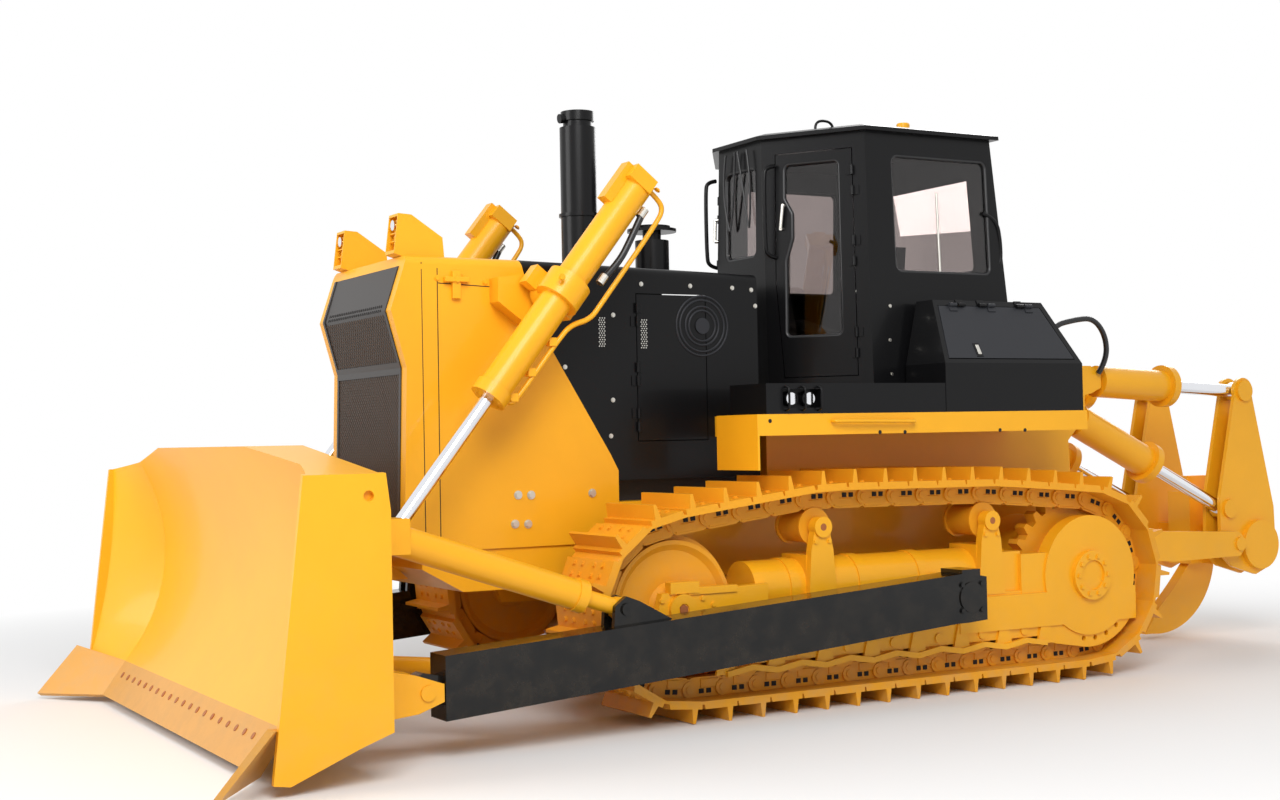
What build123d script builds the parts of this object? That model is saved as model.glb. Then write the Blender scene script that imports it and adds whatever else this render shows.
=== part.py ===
from build123d import *
from math import acos, atan2, cos, hypot, pi, radians, sin, sqrt
import os

os.makedirs("parts", exist_ok=True)

# Frame: X forward, Y to the machine's left, Z up, ground at Z = 0, in millimetres.
# Every x below is measured from the sprocket axle, which lies SPROCKET_X from the middle
# of the machine's length.
SPROCKET_X = -1672.5

# Undercarriage
TRACK_Y = 1070.0
SHOE_WIDTH = 560.0
SHOE_COUNT = 41
PIN_TO_TIP = 170.0
SHOE_SEAT = 45.0
SHOE_FACE = 89.0
SHOE_GAP_DEPTH = 62.0
GROUSER_THICK = 18.0
RAIL_DEPTH = 68.0
RAIL_INNER = 60.0
RAIL_OUTER = 110.0
CHAIN_PHASE = 0.35
SPROCKET_Z = 668.0
SPROCKET_R = 495.6
SPROCKET_TEETH = 27
TOOTH_TIP_R = 515.0
TOOTH_ROOT_R = 458.0
TOOTH_HALF_WIDTH = 45.0
IDLER_X = 3108.0
IDLER_Z = 645.0
IDLER_R = 475.0
IDLER_TREAD_R = 388.0
CARRIER_X = (820.0, 2126.0)
CARRIER_Z = (1056.0, 1070.0)
CARRIER_R = 98.0
ROLLER_FIRST_X = 565.0
ROLLER_LAST_X = 2650.0
ROLLER_COUNT = 7
ROLLER_Z = 345.3
ROLLER_R = 105.0
ROLLER_FLANGE_R = 124.0
FRAME_HALF_WIDTH = 170.0
FRAME_PLATE = 30.0
FRAME_LOW_Z = 360.0
FRAME_TOP_Z = 600.0
FRAME_REAR_X = 560.0
FRAME_FRONT_X = 2580.0
SPRING_TUBE_R = 165.0
SPRING_TUBE_Z = 715.0
COVER_R = 390.0
COVER_DEPTH = 100.0
GUARD_REAR_X = -400.0
GUARD_FRONT_X = 1100.0
GUARD_TOP_Z = 577.0
GUARD_SWEEP_R = 470.0
ROLLER_GUARD_Y = (1272.0, 1300.0)
ROLLER_GUARD_Z = 252.0
ROLLER_GUARD_WAVE = 14.0
ROLLER_GUARD_DEPTH = 34.0
HUB_R = 160.0
IDLER_DISH = 26.0

# Hull
HULL_HALF_WIDTH = 585.0
HULL_REAR_X = -500.0
HULL_STEP_X = 2050.0
HULL_FRONT_X = 4400.0
HULL_LOW_Z = 540.0
HULL_BELLY_Z = 760.0
HULL_DECK_Z = 1745.0
ENGINE_BED_Z = 1240.0
TOW_PIN = (4510.0, 880.0)
TOW_PIN_R = 32.0
TOW_EAR_Y = (45.0, 95.0)

# Nose and hood
NOSE_HALF_WIDTH = 600.0
SHEET = 12.0
NOSE_TOP_Z = 2683.0
HOOD_REAR_X = 2110.0
HOOD_REAR_Z = 2640.0
HOOD_SPLIT_X = 3760.0
HOOD_LOW_Z = 1370.0
GRILLE_HALF_WIDTH = 525.0
GRILLE_LOW_Z = 1180.0
GRILLE_TOP_Z = 2625.0
ENGINE_DOOR_X = (2490.0, 2990.0)
ENGINE_DOOR_Z = (1600.0, 2500.0)
DOOR_GAP = 6.0
HOOD_ROUND = 50.0
LAMP_Y = (370.0, 510.0)
LAMP_WALL = 9.0

# Hinges
KNUCKLE_R = 12.0
KNUCKLE_LENGTH = 60.0
HINGE_LIFT = 12.4
HINGE_SINK = 1.4
STRAP = 42.0
STRAP_THICK = 7.0
LEAF_SHARES = (0.1, 0.5, 0.9)
POST_SHARES = (0.19, 0.41, 0.81)

# Cab
CAB_FLOOR_Z = 1745.0
CAB_TOP_Z = 3560.0
CAB_WALL = 45.0
CAB_FRONT_X = 1825.0
CAB_REAR_X = 395.0
CAB_SIDE_Y = 855.0
CAB_FRONT_LEAN = 25.0
CAB_DOOR_LEAN = 60.0
CAB_SIDE_LEAN = 75.0
CAB_REAR_LEAN = 150.0
CAB_DOOR_ANGLE = radians(33.6)
CAB_DOOR_REACH = 1664.0
ROOF_OVERHANG = 45.0
ROOF_THICK = 50.0
GLASS = 8.0
WINDOW_ROUND = 55.0
ROOF_SHOULDER = 85.0

# Fenders and boxes
FENDER_Y = 1350.0
FENDER_X = (50.0, 2620.0)
FENDER_Z = (1620.0, 1745.0)
FENDER_NOTCH_X = 2440.0
FENDER_NOTCH_Y = 905.0
STEP_X = (1225.0, 2555.0)
STEP_TOP_Z = 1925.0
STEP_LAMP_X = (2170.0, 2440.0)
STEP_LAMP_Z = (1780.0, 1890.0)
STEP_LAMP_DEPTH = 55.0
BOX_X = (83.0, 1220.0)
BOX_TOP_X = (215.0, 1125.0)
BOX_INNER_Y = 960.0
BOX_RIDGE_Y = 1120.0
BOX_WAIST_Z = 2050.0
BOX_TOP_Z = 2460.0

# Blade and its arms
ARM_Y = (1400.0, 1600.0)
TRUNNION = (1266.0, 623.0)
TRUNNION_R = 70.0
ARM_FRONT_PIN = (4800.0, 360.0)
BLADE_PIN_R = 40.0
BLADE_HALF_WIDTH = 1985.0
BLADE_WING_Y = 1600.0
SIDE_PLATE = 32.0
CORNER_TIP_Y = 2040.0
CORNER_HOLE = (5240.0, 1374.0)
CORNER_HOLE_R = 26.0
BRACE_ARM_END = (3620.0, 700.0)
BRACE_BLADE_END = (4900.0, 1128.0)
BRACE_Y = 1478.0
BRACE_R = 82.0
BRACE_NECK_R = 46.0
LIFT_Y = 950.0
LIFT_TRUNNION = (3660.0, 2470.0)
LIFT_PIN = (4860.0, 950.0)
LIFT_BARREL_R = 95.0
LIFT_BORE_R = 74.0
LIFT_ROD_R = 40.0
LIFT_EYE_HALF = 40.0
PIN_CLEARANCE = 0.5
SLOT_CLEARANCE = 7.0

# Ripper
LINK_FRONT = (-660.0, 800.0)
LINK_REAR = (-2180.0, 738.0)
TILT_FRONT = (-800.0, 1973.0)
TILT_REAR = (-2365.0, 1889.0)
RIP_LIFT_FRONT = (-620.0, 1740.0)
RIP_LIFT_REAR = (-2178.0, 1000.0)
RIPPER_CYL_Y = 425.0
RIPPER_BARREL_R = 115.0
RIPPER_BORE_R = 92.0
RIPPER_ROD_R = 48.0
RIPPER_PISTON = 24.0
RIPPER_EYE_HALF = 46.0
RIPPER_PIN_R = 40.0
EAR_SLOT_HALF = 56.0
EAR_PLATE = 30.0
PIN_BOSS = 22.0
LINK_Y = (520.0, 605.0)
LINK_PIN_R = 50.0
BEAM_CENTRE = (-2480.0, 717.0)
BEAM_CAP_R = 190.0
SHANK_HALF = 45.0


def side_plane(y):
    """Vertical plane at y, seen from the machine's right: x runs forward and z up."""
    return Plane(origin=(SPROCKET_X, y, 0), x_dir=(1, 0, 0), z_dir=(0, -1, 0))


def slab(points, y_low, y_high, mode=Mode.ADD):
    """Plate with a side outline of straight edges, between two y values."""
    with BuildSketch(side_plane(y_high)) as outline:
        with BuildLine():
            Polyline(*points, close=True)
        make_face()
    extrude(outline.sketch, amount=y_high - y_low, mode=mode)


def block(x_range, y_range, z_range, mode=Mode.ADD):
    """Upright block between three pairs of limits."""
    (x0, x1), (z0, z1) = x_range, z_range
    slab([(x0, z0), (x1, z0), (x1, z1), (x0, z1)], y_range[0], y_range[1], mode)


def cross_pin(centre, radius, y_low, y_high, mode=Mode.ADD):
    """Round bar or bore that runs across the machine."""
    with BuildSketch(side_plane(y_high)) as outline:
        with Locations(centre):
            Circle(radius)
    extrude(outline.sketch, amount=y_high - y_low, mode=mode)


def rod(start, end, radius, mode=Mode.ADD):
    """Round bar between two points in space."""
    first = Vector(start[0] + SPROCKET_X, start[1], start[2])
    reach = Vector(end[0] + SPROCKET_X, end[1], end[2]) - first
    with BuildSketch(Plane(origin=first, z_dir=reach)) as outline:
        Circle(radius)
    extrude(outline.sketch, amount=reach.length, mode=mode)


def along(start, end, distance):
    """Point in a side view, a distance from start on the way to end."""
    run = hypot(end[0] - start[0], end[1] - start[1])
    share = distance / run
    return (start[0] + (end[0] - start[0]) * share, start[1] + (end[1] - start[1]) * share)


def in_line(start, end, y, near, far, radius, mode=Mode.ADD):
    """Round bar on the line of two side-view points, from near to far past start."""
    a = along(start, end, near)
    b = along(start, end, far)
    rod((a[0], y, a[1]), (b[0], y, b[1]), radius, mode)


def in_line_block(start, end, y_range, near, far, low, high, mode=Mode.ADD):
    """Block along the line of two side-view points; low and high are heights off that line."""
    run = hypot(end[0] - start[0], end[1] - start[1])
    off = ((start[1] - end[1]) / run, (end[0] - start[0]) / run)
    corners = []
    for distance, height in ((near, low), (far, low), (far, high), (near, high)):
        spot = along(start, end, distance)
        corners.append((spot[0] + off[0] * height, spot[1] + off[1] * height))
    slab(corners, y_range[0], y_range[1], mode)


def ring_point(centre, radius, degrees):
    """Point on a circle in a side view, measured from forwards towards up."""
    return (centre[0] + radius * cos(radians(degrees)), centre[1] + radius * sin(radians(degrees)))


def top_side_edges(height, half_width):
    """The open part's long top edges: above a height and at its full half width."""
    edges = []
    for edge in BuildPart._get_context().edges():
        middle = edge.center()
        if middle.Z > height and abs(abs(middle.Y) - half_width) < 1 and edge.length > 500:
            edges.append(edge)
    return edges


def hinge_half(low, high, toward, shares):
    """Knuckles on the line from low to high, each with a strap that lies on its own leaf."""
    first = Vector(low[0] + SPROCKET_X, low[1], low[2])
    axis = Vector(high[0] + SPROCKET_X, high[1], high[2]) - first
    leaf = Vector(*toward)
    leaf = leaf - axis * (leaf.dot(axis) / axis.dot(axis))
    for share in shares:
        with BuildSketch(Plane(origin=first + axis * share, x_dir=leaf, z_dir=axis)) as knuckle:
            Circle(KNUCKLE_R)
            with Locations((STRAP / 2, STRAP_THICK / 2 - KNUCKLE_R - HINGE_SINK)):
                Rectangle(STRAP, STRAP_THICK)
        extrude(knuckle.sketch, amount=KNUCKLE_LENGTH / 2, both=True)


def save(piece, name):
    """Label a finished piece and write its file."""
    piece.part.label = name
    export_step(piece.part, f"parts/{name}.step")


# Track chain: a closed pitch line wraps the sprocket, the idler and the two carrier rollers.
def chain_runs():
    """Straight runs of the pitch line: direction of the outward normal, start and end."""
    wheels = [(0.0, SPROCKET_Z, SPROCKET_R), (IDLER_X, IDLER_Z, IDLER_R)]
    for x, z in sorted(zip(CARRIER_X, CARRIER_Z), reverse=True):
        wheels.append((x, z, CARRIER_R + RAIL_DEPTH + 7.0))
    runs = []
    for first, second in zip(wheels, wheels[1:] + wheels[:1]):
        run_x, run_z = second[0] - first[0], second[1] - first[1]
        normal = atan2(run_z, run_x) - acos((first[2] - second[2]) / hypot(run_x, run_z))
        start = (first[0] + first[2] * cos(normal), first[1] + first[2] * sin(normal))
        end = (second[0] + second[2] * cos(normal), second[1] + second[2] * sin(normal))
        runs.append((normal, start, end, second))
    return runs


def chain_pins():
    """Centres of the track pins, evenly spaced along the pitch line."""
    runs = chain_runs()
    pieces = []
    for index, (normal, start, end, wheel) in enumerate(runs):
        turn = (runs[(index + 1) % len(runs)][0] - normal) % (2 * pi)
        pieces.append((hypot(end[0] - start[0], end[1] - start[1]), start, end, wheel, normal, 0.0))
        pieces.append((turn * wheel[2], start, end, wheel, normal, turn))
    total = sum(piece[0] for piece in pieces)
    pins = []
    for count in range(SHOE_COUNT):
        left = ((count + CHAIN_PHASE) % SHOE_COUNT) * total / SHOE_COUNT
        for length, start, end, wheel, normal, turn in pieces:
            if left <= length:
                break
            left -= length
        share = left / length
        if turn:
            angle = normal + turn * share
            pins.append((wheel[0] + wheel[2] * cos(angle), wheel[1] + wheel[2] * sin(angle)))
        else:
            pins.append((start[0] + (end[0] - start[0]) * share, start[1] + (end[1] - start[1]) * share))
    return pins


def chain_outline(pins, profile):
    """Closed outline that repeats a link's profile, (share of pitch, height over pins)."""
    points = []
    for pin, following in zip(pins, pins[1:] + pins[:1]):
        run_x, run_z = following[0] - pin[0], following[1] - pin[1]
        pitch = hypot(run_x, run_z)
        for share, height in profile:
            x = pin[0] + run_x * share + run_z / pitch * height
            z = pin[1] + run_z * share - run_x / pitch * height
            points.append((x, z))
    return points


def ring(outer, inner, y_low, y_high):
    """Closed band between two outlines, between two y values."""
    with BuildSketch(side_plane(y_high)) as band:
        with BuildLine():
            Polyline(*outer, close=True)
        make_face()
        with BuildLine():
            Polyline(*inner, close=True)
        make_face(mode=Mode.SUBTRACT)
    extrude(band.sketch, amount=y_high - y_low)


PINS = chain_pins()
PITCH = hypot(PINS[1][0] - PINS[0][0], PINS[1][1] - PINS[0][1])
GROUSER_AT = 42.0 / PITCH
GROUSER_SHARE = GROUSER_THICK / PITCH
SHOE_PROFILE = [
    (0.02, SHOE_GAP_DEPTH),
    (0.02, SHOE_FACE),
    (GROUSER_AT - 0.045, SHOE_FACE),
    (GROUSER_AT, PIN_TO_TIP),
    (GROUSER_AT + GROUSER_SHARE, PIN_TO_TIP),
    (GROUSER_AT + GROUSER_SHARE + 0.045, SHOE_FACE),
    (0.95, SHOE_FACE),
    (0.98, SHOE_GAP_DEPTH),
]
RAIL_PROFILE = [(0.0, -RAIL_DEPTH + 12), (0.12, -RAIL_DEPTH), (0.88, -RAIL_DEPTH)]
SEAT_PROFILE = [(0.0, SHOE_SEAT)]

for name, side in (("left", 1), ("right", -1)):
    centre = side * TRACK_Y
    with BuildPart() as track:
        ring(chain_outline(PINS, SHOE_PROFILE), chain_outline(PINS, SEAT_PROFILE),
             centre - SHOE_WIDTH / 2, centre + SHOE_WIDTH / 2)
        for rail in (-1, 1):
            near, far = sorted((centre + rail * RAIL_INNER, centre + rail * RAIL_OUTER))
            ring(chain_outline(PINS, [(0.0, SHOE_SEAT + 4)]), chain_outline(PINS, RAIL_PROFILE), near, far)
    save(track, f"track_{name}")

# Sprockets: toothed rims between the link rails, on shafts from the hull.
with BuildPart() as sprockets:
    with BuildSketch(side_plane(TRACK_Y + TOOTH_HALF_WIDTH)) as rim:
        with BuildLine():
            teeth = []
            for tooth in range(SPROCKET_TEETH):
                for share, radius in ((-0.32, TOOTH_ROOT_R), (-0.14, TOOTH_TIP_R),
                                      (0.14, TOOTH_TIP_R), (0.32, TOOTH_ROOT_R)):
                    angle = 2 * pi * (tooth + share) / SPROCKET_TEETH
                    teeth.append((radius * cos(angle), SPROCKET_Z + radius * sin(angle)))
            Polyline(*teeth, close=True)
        make_face()
    extrude(rim.sketch, amount=2 * TOOTH_HALF_WIDTH)
    cross_pin((0, SPROCKET_Z), 330, TRACK_Y - 100, TRACK_Y + 100)
    cross_pin((0, SPROCKET_Z), 150, 945, TRACK_Y + 120)
    mirror(about=Plane.XZ)
save(sprockets, "sprockets")

# Idlers: cast wheels with dished faces and a middle flange that runs between the link rails.
with BuildPart() as idlers:
    half_profile = [(150, 0), (150, 70), (128, 110), (108 - IDLER_DISH, 150), (108 - IDLER_DISH, 330),
                    (108, IDLER_TREAD_R - 24), (108, IDLER_TREAD_R), (42, IDLER_TREAD_R), (42, IDLER_TREAD_R + 32)]
    with BuildSketch(Plane(origin=(IDLER_X + SPROCKET_X, TRACK_Y, IDLER_Z), x_dir=(0, 1, 0), z_dir=(1, 0, 0))) as wheel:
        with BuildLine():
            Polyline(*half_profile, *[(-offset, radius) for offset, radius in reversed(half_profile)], close=True)
        make_face()
    revolve(axis=Axis((IDLER_X + SPROCKET_X, 0, IDLER_Z), (0, 1, 0)))
    mirror(about=Plane.XZ)
save(idlers, "idlers")

# Track rollers: seven to a side, on shafts held between the frame's side plates.
ROLLER_PITCH = (ROLLER_LAST_X - ROLLER_FIRST_X) / (ROLLER_COUNT - 1)
with BuildPart() as track_rollers:
    for count in range(ROLLER_COUNT):
        spot = (ROLLER_FIRST_X + count * ROLLER_PITCH, ROLLER_Z)
        cross_pin(spot, ROLLER_R, TRACK_Y - 135, TRACK_Y + 135)
        for near, far in ((-150, -116), (116, 150)):
            cross_pin(spot, ROLLER_FLANGE_R, TRACK_Y + near, TRACK_Y + far)
        cross_pin(spot, 45, TRACK_Y - FRAME_HALF_WIDTH, TRACK_Y + FRAME_HALF_WIDTH)
    mirror(about=Plane.XZ)
save(track_rollers, "track_rollers")

# Carrier rollers: two to a side, under the top run, each on a shaft from its post.
with BuildPart() as carrier_rollers:
    for spot in zip(CARRIER_X, CARRIER_Z):
        cross_pin(spot, CARRIER_R, TRACK_Y - 112, TRACK_Y + 112)
        for near, far in ((-128, -113), (113, 128)):
            cross_pin(spot, CARRIER_R + 16, TRACK_Y + near, TRACK_Y + far)
        cross_pin(spot, 36, TRACK_Y - 140, TRACK_Y + 150)
    mirror(about=Plane.XZ)
save(carrier_rollers, "carrier_rollers")

# Track frames: a box beam with side plates, the recoil spring's tube, the posts of the
# carrier rollers, the rear cover over the final drive and the fork that holds the idler.
for name, side in (("left", 1), ("right", -1)):
    with BuildPart() as track_frame:
        for near, far in ((-FRAME_HALF_WIDTH - FRAME_PLATE, -FRAME_HALF_WIDTH),
                          (FRAME_HALF_WIDTH, FRAME_HALF_WIDTH + FRAME_PLATE)):
            block((FRAME_REAR_X - 130, FRAME_FRONT_X + 220), (TRACK_Y + near, TRACK_Y + far),
                  (FRAME_LOW_Z - 60, FRAME_TOP_Z))
        block((FRAME_REAR_X, FRAME_FRONT_X), (TRACK_Y - 171, TRACK_Y + 171), (480, FRAME_TOP_Z))
        with BuildSketch(Plane(origin=(FRAME_REAR_X + 60 + SPROCKET_X, TRACK_Y, SPRING_TUBE_Z),
                               z_dir=(1, 0, 0))) as tube:
            Circle(SPRING_TUBE_R)
        extrude(tube.sketch, amount=FRAME_FRONT_X - FRAME_REAR_X - 60)
        for x, z in zip(CARRIER_X, CARRIER_Z):
            slab([(x - 105, 590), (x + 105, 590), (x + 80, 930), (x + 42, z + 45), (x - 42, z + 45),
                  (x - 80, 930)], TRACK_Y + 150, TRACK_Y + 205)
            block((x - 90, x + 90), (TRACK_Y - 100, TRACK_Y + 160), (640, 905))
        for near, far in ((-205, -150), (150, 205)):
            slab([(FRAME_FRONT_X - 60, 520), (IDLER_X + 130, 540), (IDLER_X + 160, 620),
                  (IDLER_X + 130, 740), (FRAME_FRONT_X - 60, 760)], TRACK_Y + near, TRACK_Y + far)
        block((3000, 3190), (TRACK_Y + 160, TRACK_Y + 222), (735, 800))
        block((FRAME_FRONT_X + 160, IDLER_X - 40), (TRACK_Y + 160, TRACK_Y + 216), (725, 765))
        cross_pin((IDLER_X, IDLER_Z), 88, TRACK_Y + 200, TRACK_Y + 232)
        cross_pin((IDLER_X, IDLER_Z), 34, TRACK_Y + 225, TRACK_Y + 233, Mode.SUBTRACT)
        block((FRAME_REAR_X, FRAME_REAR_X + 190), (TRACK_Y - 150, TRACK_Y + 175), (590, 850))
        block((FRAME_REAR_X - 240, FRAME_REAR_X + 20), (TRACK_Y + 125, TRACK_Y + 205), (570, 830))
        for x in (1300, 1760, 2260):
            with BuildSketch(Plane(origin=(x + SPROCKET_X, TRACK_Y, SPRING_TUBE_Z), z_dir=(1, 0, 0))) as band:
                Circle(SPRING_TUBE_R + 8)
            extrude(band.sketch, amount=70)
        for spot in zip(CARRIER_X, CARRIER_Z):
            cross_pin(spot, 62, TRACK_Y + 150, TRACK_Y + 222)
            cross_pin(spot, 22, TRACK_Y + 215, TRACK_Y + 223, Mode.SUBTRACT)
        strip = []
        for step in range(2 * ROLLER_COUNT + 1):
            x = ROLLER_FIRST_X - ROLLER_PITCH / 2 + step * ROLLER_PITCH / 2
            strip.append((x, ROLLER_GUARD_Z + (ROLLER_GUARD_WAVE if step % 2 else -ROLLER_GUARD_WAVE)))
        slab(strip + [(x, z + ROLLER_GUARD_DEPTH) for x, z in reversed(strip)], *ROLLER_GUARD_Y)
        for count in range(ROLLER_COUNT + 1):
            x = ROLLER_FIRST_X + (count - 0.5) * ROLLER_PITCH
            slab([(x - 70, ROLLER_GUARD_Z), (x + 70, ROLLER_GUARD_Z), (x + 20, 430), (x - 20, 430)],
                 TRACK_Y + 195, ROLLER_GUARD_Y[0] + 12)
        sprocket = (0, SPROCKET_Z)
        with BuildSketch(side_plane(TRACK_Y + 205)) as skirt:
            with BuildLine():
                ThreePointArc(ring_point(sprocket, GUARD_SWEEP_R, 217), ring_point(sprocket, GUARD_SWEEP_R, 250),
                              ring_point(sprocket, GUARD_SWEEP_R, 283))
                Polyline(ring_point(sprocket, GUARD_SWEEP_R, 283), (430, 262), (430, 420),
                         ring_point(sprocket, GUARD_SWEEP_R, 217))
            make_face()
            with Locations(*[ring_point(sprocket, GUARD_SWEEP_R - 55, angle) for angle in (236, 250, 264, 278)]):
                Circle(17, mode=Mode.SUBTRACT)
        extrude(skirt.sketch, amount=30)
        cover = TRACK_Y + 120
        cross_pin((0, SPROCKET_Z), COVER_R, cover, cover + COVER_DEPTH)
        block((GUARD_REAR_X, GUARD_FRONT_X), (TRACK_Y + FRAME_HALF_WIDTH, cover + COVER_DEPTH),
              (FRAME_LOW_Z, GUARD_TOP_Z))
        cross_pin((0, SPROCKET_Z), HUB_R, cover, cover + COVER_DEPTH + 30)
        cross_pin((0, SPROCKET_Z), HUB_R - 62, cover + COVER_DEPTH + 14, cover + COVER_DEPTH + 31, Mode.SUBTRACT)
        cross_pin(TRUNNION, TRUNNION_R, TRACK_Y + 180, ARM_Y[0] + 90)
        cross_pin(TRUNNION, TRUNNION_R + 60, TRACK_Y + 180, ARM_Y[0] - 90)
        if side < 0:
            mirror(about=Plane.XZ, mode=Mode.REPLACE)
    save(track_frame, f"track_frame_{name}")

# Equaliser bar: a beam across the machine that rests on both track frames.
with BuildPart() as equaliser_bar:
    half = TRACK_Y - FRAME_HALF_WIDTH - FRAME_PLATE
    block((1960, 2120), (-half, half), (FRAME_TOP_Z - 40, HULL_BELLY_Z))
save(equaliser_bar, "equaliser_bar")

# Hull: the transmission case with its final drives, and the lower engine bed.
with BuildPart() as hull:
    slab([(HULL_REAR_X, HULL_LOW_Z), (1780, HULL_LOW_Z), (1900, HULL_BELLY_Z), (HULL_FRONT_X - 250, HULL_BELLY_Z),
          (HULL_FRONT_X, 900), (HULL_FRONT_X, ENGINE_BED_Z), (HULL_STEP_X, ENGINE_BED_Z),
          (HULL_STEP_X, HULL_DECK_Z), (HULL_REAR_X, HULL_DECK_Z)], -HULL_HALF_WIDTH, HULL_HALF_WIDTH)
    cross_pin((0, SPROCKET_Z), 380, -945, 945)
    for low, high in ((-TOW_EAR_Y[1], -TOW_EAR_Y[0]), TOW_EAR_Y):
        slab([(HULL_FRONT_X - 10, 910), (4500, 960), (4570, 920), (4580, 860), (4540, 810), (HULL_FRONT_X - 110, 815)],
             low, high)
        cross_pin(TOW_PIN, TOW_PIN_R, low - 1, high + 1, Mode.SUBTRACT)
save(hull, "hull")

# Nose: sheet metal round the radiator, with the sides' yellow tail. It is open at the
# back and below, and its front is cut for the grille.
NOSE_FRONT = [(4510, 1000), (4480, 2045), (4570, 2370), (4466, NOSE_TOP_Z)]
NOSE_TAIL = [(HOOD_SPLIT_X, NOSE_TOP_Z - 3), (3660, 2310), (3183, 1530), (3130, 1430), (3130, 1000)]
with BuildPart(mode=Mode.PRIVATE) as nose_hollow:
    slab([(4510 - SHEET, 900), (4480 - SHEET, 2045), (4570 - SHEET, 2370), (4466 - SHEET, NOSE_TOP_Z - SHEET),
          (3000, NOSE_TOP_Z - SHEET), (3000, 900)], SHEET - NOSE_HALF_WIDTH, NOSE_HALF_WIDTH - SHEET)
    fillet(top_side_edges(NOSE_TOP_Z - 60, NOSE_HALF_WIDTH - SHEET), HOOD_ROUND - SHEET)
with BuildPart() as nose:
    slab(NOSE_FRONT + NOSE_TAIL, -NOSE_HALF_WIDTH, NOSE_HALF_WIDTH)
    fillet(top_side_edges(NOSE_TOP_Z - 60, NOSE_HALF_WIDTH), HOOD_ROUND)
    add(nose_hollow.part, mode=Mode.SUBTRACT)
    block((4300, 4700), (-GRILLE_HALF_WIDTH, GRILLE_HALF_WIDTH), (GRILLE_LOW_Z, GRILLE_TOP_Z), mode=Mode.SUBTRACT)
save(nose, "nose")

# Grille: a bent sheet that fills the nose's front opening, with a rib along each fold.
with BuildPart() as grille:
    slab([(4505, GRILLE_LOW_Z), (4480, 2045), (4570, 2370), (4489, GRILLE_TOP_Z), (4477, GRILLE_TOP_Z),
          (4558, 2370), (4468, 2045), (4493, GRILLE_LOW_Z)], -GRILLE_HALF_WIDTH, GRILLE_HALF_WIDTH)
    slab([(4482, 2010), (4481, 2045), (4491, 2080), (4497, 2078), (4487, 2045), (4488, 2010)],
         -GRILLE_HALF_WIDTH, GRILLE_HALF_WIDTH)
    for y in (-GRILLE_HALF_WIDTH, GRILLE_HALF_WIDTH - 28):
        slab([(4504, GRILLE_LOW_Z), (4479, 2045), (4569, 2370), (4488, GRILLE_TOP_Z), (4494, GRILLE_TOP_Z),
              (4577, 2370), (4486, 2045), (4511, GRILLE_LOW_Z)], y, y + 28)
save(grille, "grille")

# Hood: black sheet metal over the engine, with a doorway in each side.
HOOD_HALF_WIDTH = NOSE_HALF_WIDTH
ENGINE_HINGE_LOW = (ENGINE_DOOR_X[1] - DOOR_GAP / 2, HOOD_HALF_WIDTH + HINGE_LIFT, ENGINE_DOOR_Z[0])
ENGINE_HINGE_HIGH = (ENGINE_HINGE_LOW[0], ENGINE_HINGE_LOW[1], ENGINE_DOOR_Z[1])
with BuildPart(mode=Mode.PRIVATE) as hood_hollow:
    slab([(4000, NOSE_TOP_Z - 3 - SHEET), (HOOD_REAR_X - 100, HOOD_REAR_Z - SHEET), (HOOD_REAR_X - 100, 900),
          (4000, 900)], SHEET - HOOD_HALF_WIDTH, HOOD_HALF_WIDTH - SHEET)
    fillet(top_side_edges(HOOD_REAR_Z - 60, HOOD_HALF_WIDTH - SHEET), HOOD_ROUND - SHEET)
with BuildPart() as hood:
    slab([(HOOD_SPLIT_X, NOSE_TOP_Z - 3), (3660, 2310), (3183, 1530), (3130, 1430), (3130, HOOD_LOW_Z),
          (HOOD_REAR_X, HOOD_LOW_Z), (HOOD_REAR_X, HOOD_REAR_Z)], -HOOD_HALF_WIDTH, HOOD_HALF_WIDTH)
    fillet(top_side_edges(HOOD_REAR_Z - 20, HOOD_HALF_WIDTH), HOOD_ROUND)
    add(hood_hollow.part, mode=Mode.SUBTRACT)
    block(ENGINE_DOOR_X, (-700, 700), ENGINE_DOOR_Z, mode=Mode.SUBTRACT)
    hinge_half(ENGINE_HINGE_LOW, ENGINE_HINGE_HIGH, (1, 0, 0), POST_SHARES)
    mirror(about=Plane.XZ)
save(hood, "hood")

for name, side in (("left", 1), ("right", -1)):
    with BuildPart() as engine_door:
        block((ENGINE_DOOR_X[0] + DOOR_GAP, ENGINE_DOOR_X[1] - DOOR_GAP),
              (HOOD_HALF_WIDTH - SHEET, HOOD_HALF_WIDTH),
              (ENGINE_DOOR_Z[0] + DOOR_GAP, ENGINE_DOOR_Z[1] - DOOR_GAP))
        hinge_half(ENGINE_HINGE_HIGH, ENGINE_HINGE_LOW, (-1, 0, 0), LEAF_SHARES)
        if side < 0:
            mirror(about=Plane.XZ, mode=Mode.REPLACE)
    save(engine_door, f"engine_door_{name}")

with BuildPart() as engine_block:
    block((2150, 3450), (-400, 400), (ENGINE_BED_Z, 2350))
save(engine_block, "engine_block")

# Exhaust stack and the air intake's precleaner, both on the hood's centre line.
with BuildPart() as exhaust_stack:
    rod((3050, 0, 2655.5), (3050, 0, 3600), 115)
    rod((3050, 0, 3600), (3050, 0, 3640), 92)
    rod((3050, 0, 3640), (3050, 0, 3700), 106)
    rod((3050, 0, 3668), (3180, 0, 3650), 30)
    rod((3050, 0, 3030), (3050, 0, 3050), 128)
    add(hood.part, mode=Mode.SUBTRACT)
save(exhaust_stack, "exhaust_stack")

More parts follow.
